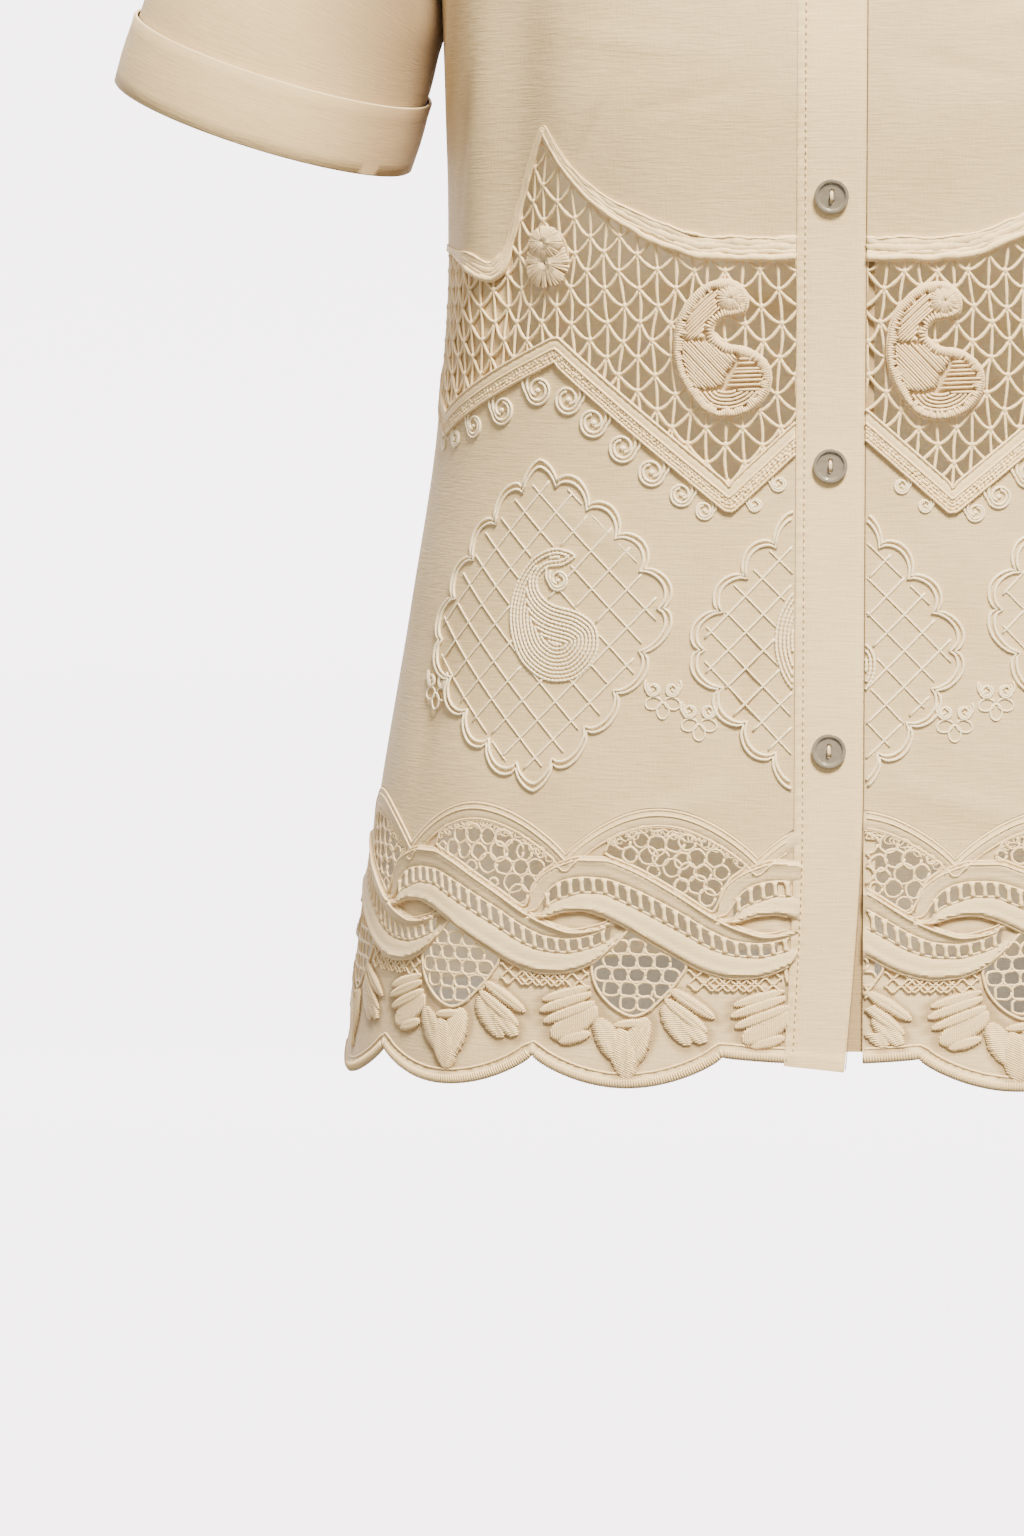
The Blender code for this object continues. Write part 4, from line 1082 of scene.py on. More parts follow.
out = normed(out * np.sign((out * away).sum(axis=1, keepdims=True)))
collar_foot = neck + up * NECK_LIFT
collar_up = up
down = normed(away * 0.62 - np.array([0, 0, 1.0]) * (0.80 - 0.12 * (1 - ahead_share)))
reach = 0.038 + 0.022 * ahead_share ** 2
crown = collar_foot + up * (COLLAR_STAND + COLLAR_WALL / 2 + FALL_LIFT)
shoulder = crown + out * 0.0038 + up * 0.0006


def finer(ring):
    """The same line with more stations."""
    at = np.linspace(0, len(ring) - 1, COLLAR_STATIONS)
    return stations_at(at, np.arange(len(ring)), ring)


stand = lofted("collar_stand_band",
               [finer(collar_foot + up * COLLAR_STAND * t) for t in np.linspace(0, 1, 7)],
               False, COLLAR_WALL, 0.0)
fall_rows = [crown, (crown + shoulder) / 2 + up * 0.0004, shoulder]
fall_rows += [shoulder + down * reach * t for t in np.linspace(0, 1, 9)[1:]]
fall = lofted("collar_fall_leaf", [finer(row[1:-1]) for row in fall_rows], False,
              COLLAR_WALL, 0.0)
for piece, node, size in ((stand, "collar_stand", (0.480, 0.031)),
                          (fall, "collar_fall", (0.520, 0.055))):
    dress(piece, linen, node)

# Lattice lace: a needle-made net of wrapped cotton bars. Upright bars run down every column and
# curved arms tie them at six-armed knots. By the side seams it is worked over plain linen.
COLUMN = 0.0076
KNOT_DROP = 0.0074
FIRST_COLUMN = 0.0222
FIRST_KNOT = -0.3514
BAR_WIDE = 0.00128
ARM_WIDE = 0.00148
KNOT_WIDE = 0.0028
NET_LIFT = -0.0008
SPARE = 0.0030                       # how far the net goes on under the cord and the band
BACKED = ((0.1500, 0.2060), (0.2360, 0.2600))    # u where linen backs the net
BACKING_LIFT = -0.0016
LACE_LIGHT = (0.93, 0.745, 0.460, 1.0)
LACE_DARK = (0.78, 0.585, 0.325, 1.0)

cotton = thread_finish("wrapped_cotton", LACE_LIGHT, LACE_DARK)
for side, letter in SIDES.items():
    random = np.random.default_rng(11 + side)
    band, net = band_height[side], Threads()

    def held(u, z):
        return band(u) - SPARE < z < yoke_height(u) + SPARE

    knots = {}
    for k in range(-1, 32):
        for j in range(-5, 14):
            z = FIRST_KNOT - KNOT_DROP * (2 * j + k % 2) + random.normal(0, 0.0004)
            u = side * (FIRST_COLUMN + COLUMN * k + random.normal(0, 0.0004)
                        + 0.0011 * math.sin(z * 120 + k * 0.7))
            knots[k, 2 * j + k % 2] = (u, z)
    for (k, j), (u, z) in knots.items():
        if abs(u) > front.girth(z) - 0.001 or abs(u) < PLACKET_HALF - 0.004:
            continue
        for far, wide in (((k, j + 2), BAR_WIDE), ((k + 1, j + 1), ARM_WIDE),
                          ((k - 1, j + 1), ARM_WIDE)):
            if far not in knots:
                continue
            end_u, end_z = knots[far]
            if not held((u + end_u) / 2, (z + end_z) / 2):
                continue
            end_u = side * min(abs(end_u), float(front.girth(end_z)) - 0.0005)
            t = np.linspace(0, 1, 7)
            sag = random.normal(0, 0.00035) if far[0] == k else random.uniform(1.45, 2.0)
            bow = np.sin(math.pi * t) * sag
            if far[0] != k:
                bow = (end_z - z) * (1 - (1 - t) ** sag - t)
            path = pairs(u + (end_u - u) * t + (bow if far[0] == k else 0 * t),
                         z + (end_z - z) * t + (0 * t if far[0] == k else bow))
            slub = 1 + 0.30 * np.exp(-((t - random.uniform(0.4, 0.6)) / 0.12) ** 2)
            slub *= 1 + 0.08 * random.normal(size=len(t))
            path[:, 1] = np.clip(path[:, 1], band(path[:, 0]) - SPARE,
                                 yoke_height(path[:, 0]) + SPARE)
            sewn(net, front, path, wide * slub, wide * 0.9, lift=NET_LIFT)
        if held(u, z):
            t = np.linspace(-1, 1, 5)
            path = pairs(u + 0 * t, z + t * KNOT_WIDE * 0.65)
            round_off = np.sqrt(np.clip(1 - t ** 2, 0.06, 1))
            sewn(net, front, path, KNOT_WIDE * 0.85 * round_off, 0.0019 * round_off,
                 lift=NET_LIFT, sides=7)
    lattice = net.mesh("lattice_" + letter + "_net")
    backing = []
    for near, far in BACKED:
        stations = run(near, far, 0.004)
        lines = []
        for height, shift in ((yoke_height, 0.002), (band, -0.002)):
            lines.append([(side * min(s, float(front.girth(float(height(s))))),
                           float(height(s)) + shift) for s in stations])
        piece = cloth("lattice_%s_backing_%d" % (letter, len(backing) + 1), front,
                      lines[0] + lines[1][::-1], 0.005, relief=raised(BACKING_LIFT))
        dress(piece, linen)
        backing.append(piece)
    dress(lattice, cotton, "lattice_" + letter)
    for piece, (near, far) in zip(backing, BACKED):
        far - near
        area_of(piece)

# Yoke cord and chevron band: the lattice's two edges. Above, a gathered strip is oversewn into
# a thick ruffled cord. Below, a folded strip is laid on with a fine cord, two rows of knotted
# stitches and a second fine cord.
# u, and the share of the full width that the gathered cord has there
CORD_SHARE = (
    (0.00, 1.00), (0.06, 1.00), (0.09, 0.80), (0.115, 0.45), (0.128, 0.35), (0.150, 0.40),
    (0.156, 0.90), (0.170, 0.80), (0.185, 0.50), (0.200, 0.28), (0.27, 0.22),
)
# offset up from the edge, width, height off the cloth, for each ruffle
RUFFLES = (
    (0.0046, 0.0013, 0.0018), (0.0028, 0.0042, 0.0016), (0.0004, 0.0044, 0.0019),
    (-0.0016, 0.0030, 0.0021), (-0.0038, 0.0036, 0.0036),
)
# offset, width, height off the cloth, pitch of the knots, for each row of the band
BAND_ROWS = (
    (0.0050, 0.0013, 0.0017, 0.0),
    (0.0006, 0.0014, 0.0020, 0.0),
    (-0.0006, 0.0018, 0.0016, 0.0019),
    (-0.0019, 0.0019, 0.0017, 0.0021),
    (-0.0033, 0.0018, 0.0016, 0.0020),
    (-0.0047, 0.0013, 0.0019, 0.0),
)
STRIP = (0.0052, 0.0004)             # the folded strip's edges, up from the band's middle
BAND_LIFT = 0.0006
FLATTEN_AT, FLATTEN_OVER = 0.218, 0.03


def slope_of(height, u, reach):
    """How steeply an edge rises at u."""
    return (height(u + reach) - height(u - reach)) / (2 * reach)


def square_on(line):
    """Unit directions square to a line of the flat cloth, up from it."""
    way = normed(np.gradient(line, axis=0))
    across = pairs(-way[:, 1], way[:, 0])
    return across * np.sign(across[:, 1:])


def flattened(u, least):
    """Share of its height that a band keeps, which is least under the arm."""
    return np.clip((FLATTEN_AT - np.abs(u)) / FLATTEN_OVER, least, 1)


def edge_offset(side, height, offset, step, corners):
    """Points along an edge, moved square to it, from the side seam to the placket."""
    level = seam_height(front, side, height)
    far = side * (float(front.girth(level)) - SEAM)
    near = float(front_edge(side, height(side * PLACKET_HALF)))
    us = with_corners(run(far, near, 0.001), corners)
    slope = slope_of(height, us, 0.0012)
    return walk(pairs(us, height(us) + offset * np.hypot(1, slope)), step,
                smooth=False)


for side, letter in SIDES.items():
    random = np.random.default_rng(23 + side)
    corners = [side * row[0] for row in YOKE_EDGE if row[2]]
    ruffles = Threads()
    for offset, wide, high in RUFFLES:
        line = edge_offset(side, yoke_height, 0.0, 0.0016, corners)
        share = np.interp(np.abs(line[:, 0]), *zip(*CORD_SHARE))
        across = square_on(line)
        wander = np.convolve(random.normal(0, 1, len(line) + 8), np.ones(5) / 5, "same")[4:-4]
        swell = np.convolve(random.normal(0, 1, len(line) + 8), np.ones(3) / 3, "same")[4:-4]
        line = line + across * ((offset + 0.0007 * wander) * share)[:, None]
        sewn(ruffles, front, line, wide * share * (1 + 0.16 * swell),
             high * share * (1 + 0.22 * swell), lift=0.0004, sides=8)
    cord = ruffles.mesh("yoke_cord_" + letter + "_ruffle")
    dress(cord, cotton, "yoke_cord_" + letter)

    rows = Threads()
    for offset, wide, high, pitch in BAND_ROWS:
        line = edge_offset(side, band_height[side], offset, pitch / 4 if pitch else 0.0014,
                           band_corners[side])
        fade = flattened(line[:, 0], 0.35)
        if pitch:
            knot = 0.5 - 0.5 * np.cos(np.arange(len(line)) * math.pi / 2 + offset * 2500)
            size = 0.62 + 0.42 * knot + 0.13 * random.normal(size=len(line))
            line[:, 1] += 0.00022 * random.normal(size=len(line))
            sewn(rows, front, line, wide * size * fade, high * size * fade,
                 lift=(BAND_LIFT + 0.0002) * fade)
        else:
            sewn(rows, front, line, wide * fade, high * fade, lift=(BAND_LIFT + 0.0003) * fade,
                 sides=7)
    top_line = edge_offset(side, band_height[side], STRIP[0], 0.0022, band_corners[side])
    foot_line = edge_offset(side, band_height[side], -STRIP[0], 0.0022, band_corners[side])

    def strip_relief(u, z, side=side):
        slope = slope_of(band_height[side], u, 0.002)
        off = (z - band_height[side](u)) / np.hypot(1, slope)
        fold = np.clip((STRIP[0] - off) / 0.0008, 0, 1) * np.clip((off - STRIP[1]) / 0.0008, 0, 1)
        return (BAND_LIFT + 0.0007 * fold) * flattened(u, 0.2)

    strip = cloth("chevron_band_" + letter + "_strip", front,
                  np.vstack([foot_line, top_line[::-1]]), 0.0016, relief=strip_relief,
                  thick=0.0007)
    band_cords = rows.mesh("chevron_band_" + letter + "_cords")
    for piece, finish in ((strip, band_linen), (band_cords, cotton)):
        dress(piece, finish, "chevron_band_" + letter)

# Daisies and paisleys: thick needlework sewn on top of the lattice. A daisy is two domes of
# satin stitch. A paisley has slanted satin, rows that follow its side, and open bars.
MOTIF_LIFT = 0.0009
DAISY_AT = (0.1262, -0.3530)
DAISY_HALF = (0.0112, 0.0130)
# offset up, half width, half height, stitches, height at the middle, above the pad
ROSETTES = (
    (-0.0024, 0.0116, 0.0106, 88, 0.0018, 0.0), (0.0066, 0.0086, 0.0068, 64, 0.0020, 0.0010),
)
PAISLEY_MIDDLES = {-1: (-0.0463, -0.3920), 1: (0.0440, -0.3930)}
PAISLEY = (
    (-0.0200, 0.0020), (-0.0170, 0.0160), (-0.0075, 0.0265), (0.0035, 0.0290),
    (0.0100, 0.0235), (0.0095, 0.0160), (-0.0010, 0.0130), (-0.0040, 0.0070),
    (0.0010, 0.0020), (0.0110, 0.0000), (0.0190, -0.0060), (0.0205, -0.0150),
    (0.0150, -0.0240), (0.0050, -0.0285), (-0.0060, -0.0270), (-0.0135, -0.0190),
    (-0.0185, -0.0090),
)
KNOB = (0.0040, 0.0218, 0.0060, 0.0062)    # across and up from the middle, half width and height
SATIN_REACH, SATIN_PITCH = 0.046, 0.00155
SATIN_THREAD, SATIN_HIGH = 0.0013, 0.0015
# up from a paisley's middle: the foot of its slanted satin, the tops of its open bars and of its
# level rows, and the top of the belly
HEAD_FOOT, BARS_TOP, LEVEL_TOP, BELLY_TOP = 0.0040, 0.0034, -0.0030, -0.0170
BARS_END, LEVEL_START = 0.0045, 0.0055    # across, where the parting between them crosses its foot
PARTING_LEAN, PARTING_FOOT = 0.5, 0.008


def clipped(path, keep):
    """The stretches of a path that lie where they may be seen."""
    kept = keep(path[:, 0], path[:, 1])
    parts, first = [], None
    for k, good in enumerate(list(kept) + [False]):
        if good and first is None:
            first = k
        elif not good and first is not None:
            if k - first > 2:
                parts.append(path[first:k])
            first = None
    return parts


def inward_of(outline):
    """Unit directions into a closed outline, square to it."""
    way = normed(np.roll(outline, -1, axis=0) - np.roll(outline, 1, axis=0))
    inward = pairs(-way[:, 1], way[:, 0])
    first = outline[:1] + inward[:1] * 0.0004
    return inward if inside(outline, first)[0] else -inward


def inset_rows(outline, pitch, rows, step):
    """Rows that follow a closed outline inwards, cut where they would meet."""
    inward, paths = inward_of(outline), []
    for row in rows:
        off = pitch * (row + 0.4)
        line = outline + inward * off
        line = np.vstack([line, line[:1]])
        kept = clipped(line, lambda u, z: inside(outline, pairs(u, z))
                       & (clearance(outline, pairs(u, z)) > off - 0.0003))
        paths += [walk(part, step, smooth=False) for part in kept]
    return paths


def oval(middle, wide, high, angle):
    """Points at given angles round an oval."""
    return pairs(middle[0] + wide * np.cos(angle), middle[1] + high * np.sin(angle))


def rosette(threads, middle, half, count, high, lift, random, thread=SATIN_THREAD):
    """Satin stitches round a point, domed, with an uneven edge."""
    t = np.array([0.05, 0.30, 0.55, 0.78, 0.94, 1.0])
    for k in range(count):
        angle = 2 * math.pi * (k + random.uniform(-0.2, 0.2)) / count
        reach = 1 + 0.03 * math.cos(angle * 7) + random.uniform(-0.025, 0.025)
        bend = angle + 0.14 * t * random.uniform(-1, 1)
        line = oval(middle, half[0] * reach * t, half[1] * reach * t, bend)
        size = thread * (0.6 + 0.5 * t)
        dome = lift + high * np.sqrt(np.clip(1 - (t * 0.97) ** 2, 0, 1))
        sewn(threads, front, line, size, 0.0010, lift=dome)


tan_cotton = thread_finish("tan_cotton", (0.90, 0.705, 0.44, 1.0), (0.72, 0.53, 0.30, 1.0))
pad_cotton = thread_finish("pad_cotton", (0.68, 0.51, 0.30, 1.0), (0.54, 0.39, 0.215, 1.0))
for side, letter in SIDES.items():
    random = np.random.default_rng(37 + side)
    daisy = Threads()
    for up, half_wide, half_high, count, high, above in ROSETTES:
        rosette(daisy, (side * DAISY_AT[0], DAISY_AT[1] + up), (half_wide, half_high), count,
                high, MOTIF_LIFT + above, random)
    angle = round_angles(40)
    rim = pairs(side * DAISY_AT[0] + DAISY_HALF[0] * np.cos(angle) * 0.96,
                DAISY_AT[1] + DAISY_HALF[1] * np.sin(angle) * 0.98)
    pad = cloth("daisy_" + letter + "_pad", front, rim, 0.0020,
                relief=raised(MOTIF_LIFT), thick=0.0012)
    stitched = daisy.mesh("daisy_" + letter + "_satin")
    for piece, finish in ((pad, pad_cotton), (stitched, tan_cotton)):
        dress(piece, finish, "daisy_" + letter)
    area_of(pad)

    middle = np.array(PAISLEY_MIDDLES[side])
    outline = walk(PAISLEY, 0.0011, closed=True) + middle
    pad = cloth("paisley_" + letter + "_pad", front, outline, 0.0020,
                relief=raised(MOTIF_LIFT - 0.0002), thick=0.0010)
    satin = Threads()
    sewn(satin, front, outline, 0.0017 + 0.0002 * random.normal(size=len(outline)), 0.0020,
         lift=MOTIF_LIFT + 0.0004, closed=True)

    def in_body(u, z):
        points = pairs(u, z)
        away = np.hypot((u - middle[0] - KNOB[0]) / KNOB[2], (z - middle[1] - KNOB[1]) / KNOB[3])
        return inside(outline, points) & (clearance(outline, points) > 0.0008) & (away > 0.95)

    t = np.linspace(0, 1, 5)
    for spot, way in zip(outline, inward_of(outline)):
        path = spot + way * (0.0034 + 0.0008 * random.normal()) * t[:, None]
        sewn(satin, front, path, SATIN_THREAD * np.array([0.7, 1, 1, 0.9, 0.5]), 0.0011,
             lift=MOTIF_LIFT + 0.0004 + 0.0012 * np.sin(math.pi * (0.25 + 0.7 * t)), sides=5)

    def in_core(u, z):
        return in_body(u, z) & (clearance(outline, pairs(u, z)) > 0.0030)

    def parting(z):
        return PARTING_LEAN * (z - middle[1] + PARTING_FOOT)

    for start in np.arange(-SATIN_REACH, SATIN_REACH, SATIN_PITCH):
        along = np.arange(-0.04, 0.04, 0.0006)
        line = middle + pairs(along, along * 0.95 + start)
        slanted = clipped(line, lambda u, z: in_core(u, z) & (z - middle[1] > HEAD_FOOT))
        crossed = clipped(middle + pairs(along, start - along * 1.05),
                          lambda u, z: in_core(u, z) & (z - middle[1] < BARS_TOP)
                          & (z - middle[1] > BELLY_TOP)
                          & (u - middle[0] < BARS_END + parting(z)))
        level = clipped(middle + pairs(along, 0.04 * along + start * 1.15),
                        lambda u, z: in_core(u, z) & (z - middle[1] > BELLY_TOP)
                        & (z - middle[1] < LEVEL_TOP)
                        & (u - middle[0] > LEVEL_START + parting(z)))
        for path in slanted + crossed + level:
            path = path + np.array([0, 1]) * 0.0002 * random.normal()
            swell = 0.3 + 0.7 * np.sin(math.pi * np.linspace(0.06, 0.94, len(path))) ** 0.4
            sewn(satin, front, path[::2], SATIN_THREAD * swell[::2], SATIN_HIGH * swell[::2],
                 lift=MOTIF_LIFT + 0.0005 + 0.0006 * swell[::2], sides=5)
    for row in inset_rows(outline, 0.0016, range(2, 7), 0.0009):
        for path in clipped(row, lambda u, z: z - middle[1] < -0.0175):
            sewn(satin, front, path, SATIN_THREAD * (1 + 0.12 * random.normal(size=len(path))),
                 SATIN_HIGH, lift=MOTIF_LIFT + 0.0008, sides=5)
    rosette(satin, middle + KNOB[:2], KNOB[2:], 46, 0.0024, MOTIF_LIFT, random, 0.0011)
    stitched = satin.mesh("paisley_" + letter + "_satin")
    for piece, finish in ((pad, pad_cotton), (stitched, tan_cotton)):
        dress(piece, finish, "paisley_" + letter)
    area_of(pad)

# Corded embroidery: double cords sewn on the lower fronts. A row of curls hangs under the chevron
# band, and three scalloped diamonds hold a net of fine threads round a chain-stitched paisley.
CORDING = 0.0013
CORD_HIGH = 0.0013
# distance along the cloth from the band's peak towards the placket, share of full size
CURLS = (
    (-0.0790, 0.40), (-0.0640, 0.62), (-0.0480, 0.82), (-0.0290, 1.00), (-0.0090, 1.00),
    (0.0065, 1.00), (0.0185, 1.00), (0.0320, 0.98), (0.0450, 0.94), (0.0580, 0.80),
    (0.0680, 0.62), (0.0895, 0.45), (0.0995, 0.50),
)
CURL_RADIUS = 0.0059
CURL_DROP = 0.0062                   # from the band's middle to a curl's rim
CURL_START, CURL_TURN = 128, 480     # degrees
CURL_STATIONS, INNER_STATIONS = 46, 30
# station along the cord, share of the radius there
CURL_SHRINK = ((0, 1.90), (6, 1.04), (24, 1.0), (38, 0.62), (45, 0.28))
PETAL, PETAL_TURNS = (0.0078, 0.0026), (195, 270, 345)
PANEL_MARGIN, BAND_FOOT = 0.0008, 0.0050
DIAMOND_MIDDLES = ((-0.1290, -0.5110, 1.06), (-0.0010, -0.5200, 1.0), (0.1290, -0.5110, 1.06))
DIAMOND_HALF = (0.0545, 0.0612)
DIAMOND_REACH = 0.055                # from the middle, on which the cords' distance is reckoned
OUTER = 0.05                         # a diamond further out than this lies wholly on one front
DIAMOND_ROUND = 1.30
DIAMOND_LOBES = 18
DIAMOND_LEAN = 0.15
LOBE_BULGE = 0.0062
CORD_APART = 0.0023
NET_PITCH = 0.0150
NET_BOW = 0.0030
NET_THREADS = {-1: 0.00078, 1: 0.00112}    # those that fall to the right, and those that rise
# the chain-stitched paisley's outline, from its tip round and back
CHAIN_OUTER = (
    (0.0100, 0.0345), (0.0000, 0.0375), (-0.0120, 0.0320), (-0.0205, 0.0190), (-0.0222, 0.0040),
    (-0.0165, -0.0110), (-0.0040, -0.0195), (0.0100, -0.0185), (0.0195, -0.0090),
    (0.0200, 0.0030), (0.0120, 0.0100), (-0.0010, 0.0135), (-0.0072, 0.0185),
    (-0.0080, 0.0240), (-0.0035, 0.0285), (0.0045, 0.0300),
)
CHAIN_ROWS = 11
CHAIN_PITCH = 0.0017
CHAIN_STITCH = 0.0019
CHAIN_WIDE, CHAIN_HIGH = 0.0016, 0.0013
FLOWER_DROP = -0.0310
CHAIN_IN = 0.0085                    # the outer paisleys sit nearer the placket


def on_panel(side):
    """Whether a place lies on one lower front and clear of the placket and side seam."""
    def keep(u, z):
        near = np.where(u < 0, -placket_left(z) + PANEL_MARGIN, PLACKET_HALF + PANEL_MARGIN)
        return ((u * side > 0) & (np.abs(u) > near) & (np.abs(u) < front.girth(z) - 0.001)
                & (z < band_height[side](u) - BAND_FOOT))
    return keep


def corded(threads, side, path, wide=CORDING, high=CORD_HIGH, closed=False):
    """A cord on the lower front, cut off where the placket or band covers it."""
    if closed:
        path = np.vstack([path, path[:1]])
    for part in clipped(path, on_panel(side)):
        sewn(threads, front, part, wide, high, lift=high * 0.28, sides=6)


def curl(threads, side, middle, radius, hand, share):
    """Two cords that hang down, turn up and wind into a knob."""
    turn = np.linspace(math.radians(CURL_START), math.radians(CURL_START + CURL_TURN),
                       CURL_STATIONS)
    shrink = np.interp(np.arange(CURL_STATIONS), *zip(*CURL_SHRINK))
    for offset in (1.0, 0.70):
        reach = radius * np.maximum(shrink * offset, 0.12)
        line = oval(middle, hand * reach, reach, turn)
        corded(threads, side, line[:CURL_STATIONS if offset == 1.0 else INNER_STATIONS],
               CORDING * (0.6 + 0.4 * share), CORD_HIGH * (0.5 + 0.5 * share))
    t = np.linspace(-1, 1, 5)
    knob = pairs(middle[0] + t * radius * 0.22, middle[1] + 0 * t)
    corded(threads, side, knob, radius * 0.42 * np.sqrt(1.05 - t ** 2), 0.0013 * share)


def scalloped_diamond(middle, scale):
    """Closed outline of outward lobes round a diamond."""
    angle = np.linspace(0, 2 * math.pi, 721)
    power = 1 / DIAMOND_ROUND
    size = (np.abs(np.cos(angle)) ** (1 / power) + np.abs(np.sin(angle)) ** (1 / power)) ** -power
    base = oval((0, 0), DIAMOND_HALF[0] * size, DIAMOND_HALF[1] * size, angle) * scale
    arc = distance_along(base)
    first = arc[180] - arc[-1] / DIAMOND_LOBES / 2
    at = first + np.linspace(0, arc[-1], DIAMOND_LOBES * 12 + 1)[:-1]
    points = stations_at(at % arc[-1], arc, base)
    phase = np.arange(len(points)) % 12 / 12
    points = points + normed(points) * (LOBE_BULGE * np.sin(math.pi * phase) ** 0.65)[:, None]
    if abs(middle[0]) > OUTER:
        points[:, 1] -= DIAMOND_LEAN * points[:, 0] * np.sign(middle[0])
    return points + middle


def flower(threads, side, middle):
    """Three petals, two curls above them and a ring."""
    length, wide = PETAL
    for turn in PETAL_TURNS:
        c, s = bearing(turn)
        angle = np.linspace(0, 2 * math.pi, 17)
        along, across = length * (0.55 - 0.45 * np.cos(angle)), wide * np.sin(angle)
        line = pairs(middle[0] + along * c - across * s, middle[1] + along * s + across * c)
        corded(threads, side, line, 0.0009, 0.0007)
    for hand in (-1, 1):
        curl(threads, side, (middle[0] - hand * 0.0042, middle[1] + 0.0046), 0.0027, hand, 0.55)


white_cotton = thread_finish("white_cord", (0.97, 0.865, 0.635, 1.0), (0.90, 0.75, 0.51, 1.0))
for side, letter in SIDES.items():
    random = np.random.default_rng(53 + side)
    cords = Threads()
    band = band_height[side]
    peak = abs(CHEVRON[side][2][0])
    for along, share in CURLS:
        u = side * (peak - along)
        radius = CURL_RADIUS * share
        beyond = peak - along < abs(CHEVRON[side][1][0])
        hand = side if (along > 0) == (not beyond) else -side
        drop = CURL_DROP + radius * 1.08
        slope = abs(float(slope_of(band, u, 0.001)))
        curl(cords, side, (u, float(band(u)) - drop * math.hypot(1, slope)), radius, hand, share)
    for u, z, scale in DIAMOND_MIDDLES:
        if abs(u) > OUTER and u * side < 0:
            continue
        middle = np.array([u, z])
        rim = scalloped_diamond(middle, scale)
        close = middle + (rim - middle) * (1 - CORD_APART / DIAMOND_REACH)
        corded(cords, side, rim, closed=True)
        corded(cords, side, close, closed=True)
        chain_at = middle + [CHAIN_IN * -np.sign(u) if abs(u) > OUTER else 0.0, -0.004]
        body = chain_at + np.array(CHAIN_OUTER)
        field = middle + (rim - middle) * (1 - 2 * CORD_APART / DIAMOND_REACH)

        def in_field(us, zs):
            points = pairs(us, zs)
            return inside(field, points) & ~inside(body, points)

        for way in (-1, 1):
            for start in np.arange(-0.12, 0.12, NET_PITCH * scale):
                along = np.arange(-0.08, 0.08, 0.0016)
                bow = NET_BOW * np.cos(along * 22)
                line = middle + pairs(along + start + bow, way * along * 1.02)
                for part in clipped(line, in_field):
                    corded(cords, side, part, NET_THREADS[way], 0.00075)
        rim = walk(body, 0.0006, closed=True)
        for path in inset_rows(rim, CHAIN_PITCH, range(CHAIN_ROWS), CHAIN_STITCH / 3):
            bead = 0.80 + 0.22 * np.cos(np.arange(len(path)) * 2 * math.pi / 3)
            for part in clipped(np.column_stack([path, bead]), on_panel(side)):
                sewn(cords, front, part[:, :2], CHAIN_WIDE * part[:, 2], CHAIN_HIGH * part[:, 2],
                     lift=0.0004, sides=5)
        curl(cords, side, chain_at + [0.0015, 0.0235], 0.0042, 1, 0.8)
        for hand in (-1, 1):
            flower(cords, side, (u + hand * DIAMOND_HALF[0] * scale, z + FLOWER_DROP))
    embroidery = cords.mesh("lower_panel_" + letter + "_cording")
    dress(embroidery, white_cotton)

# Hem lace: a border of cutwork below the hills. Padded rolls with a ladder of bars between them
# wind from hill to hill, nets of looped thread fill the gaps, and satin leaves and a tulip stand
# over each scallop, whose edge is worked in buttonhole stitch.
HEM_STEP = 0.00145
HEM_LIFT = -0.0004
TUCK = 0.0035                        # under the placket, on the side where it is stitched
NOTCH = -0.0450
NOTCH_HEIGHT = -0.6935
SCALLOP_DROP = 0.0135
FLAT_DROP = 0.0025
SIDE_DIP = 0.0100
# One strand, measured from the cusp on its left: its top edge, the top of its ladder of bars, the
# foot of the ladder, and the foot of its lower roll
STRAND_TOP = (
    (-0.0178, -0.0250), (-0.0160, -0.0160), (-0.0108, -0.0094), (-0.0025, -0.0045),
    (0.0075, -0.0016), (0.0175, -0.0016), (0.0275, -0.0045), (0.0483, -0.0150),
    (0.0683, -0.0268), (0.0775, -0.0305), (0.0875, -0.0329), (0.0988, -0.0313),
    (0.1067, -0.0276), (0.1130, -0.0262),
)
LADDER_TOP = (
    (-0.0178, -0.0262), (-0.0133, -0.0248), (-0.0100, -0.0199), (-0.0058, -0.0150),
    (0.0008, -0.0118), (0.0092, -0.0106), (0.0175, -0.0110), (0.0250, -0.0130),
    (0.0500, -0.0244), (0.0667, -0.0337), (0.0750, -0.0366), (0.0842, -0.0374),
    (0.0942, -0.0358), (0.1054, -0.0305), (0.1130, -0.0285),
)
LADDER_FOOT = (
    (-0.0178, -0.0270), (-0.0108, -0.0264), (-0.0067, -0.0215), (0.0000, -0.0187),
    (0.0083, -0.0163), (0.0158, -0.0163), (0.0250, -0.0195), (0.0500, -0.0313),
    (0.0667, -0.0398), (0.0750, -0.0419), (0.0842, -0.0423), (0.0942, -0.0402),
    (0.1042, -0.0362), (0.1130, -0.0296),
)
ROLL_FOOT = (
    (-0.0178, -0.0282), (-0.0100, -0.0280), (-0.0008, -0.0256), (0.0075, -0.0248),
    (0.0175, -0.0272), (0.0267, -0.0313), (0.0458, -0.0419), (0.0625, -0.0500),
    (0.0750, -0.0524), (0.0842, -0.0516), (0.0958, -0.0476), (0.1067, -0.0378),
    (0.1130, -0.0310),
)
STRAND_ENDS = (-0.0178, 0.1130)
LADDER_ENDS = (-0.0105, 0.1040)
ROLL_HIGH = 0.0025
BAR_PITCH = 0.0052
HILL_BAND = 0.0084
LOOP_PITCH = 0.0074
LOOP_RIM = 0.0016
FAN_MIDDLE = 0.0320                  # from the cusp
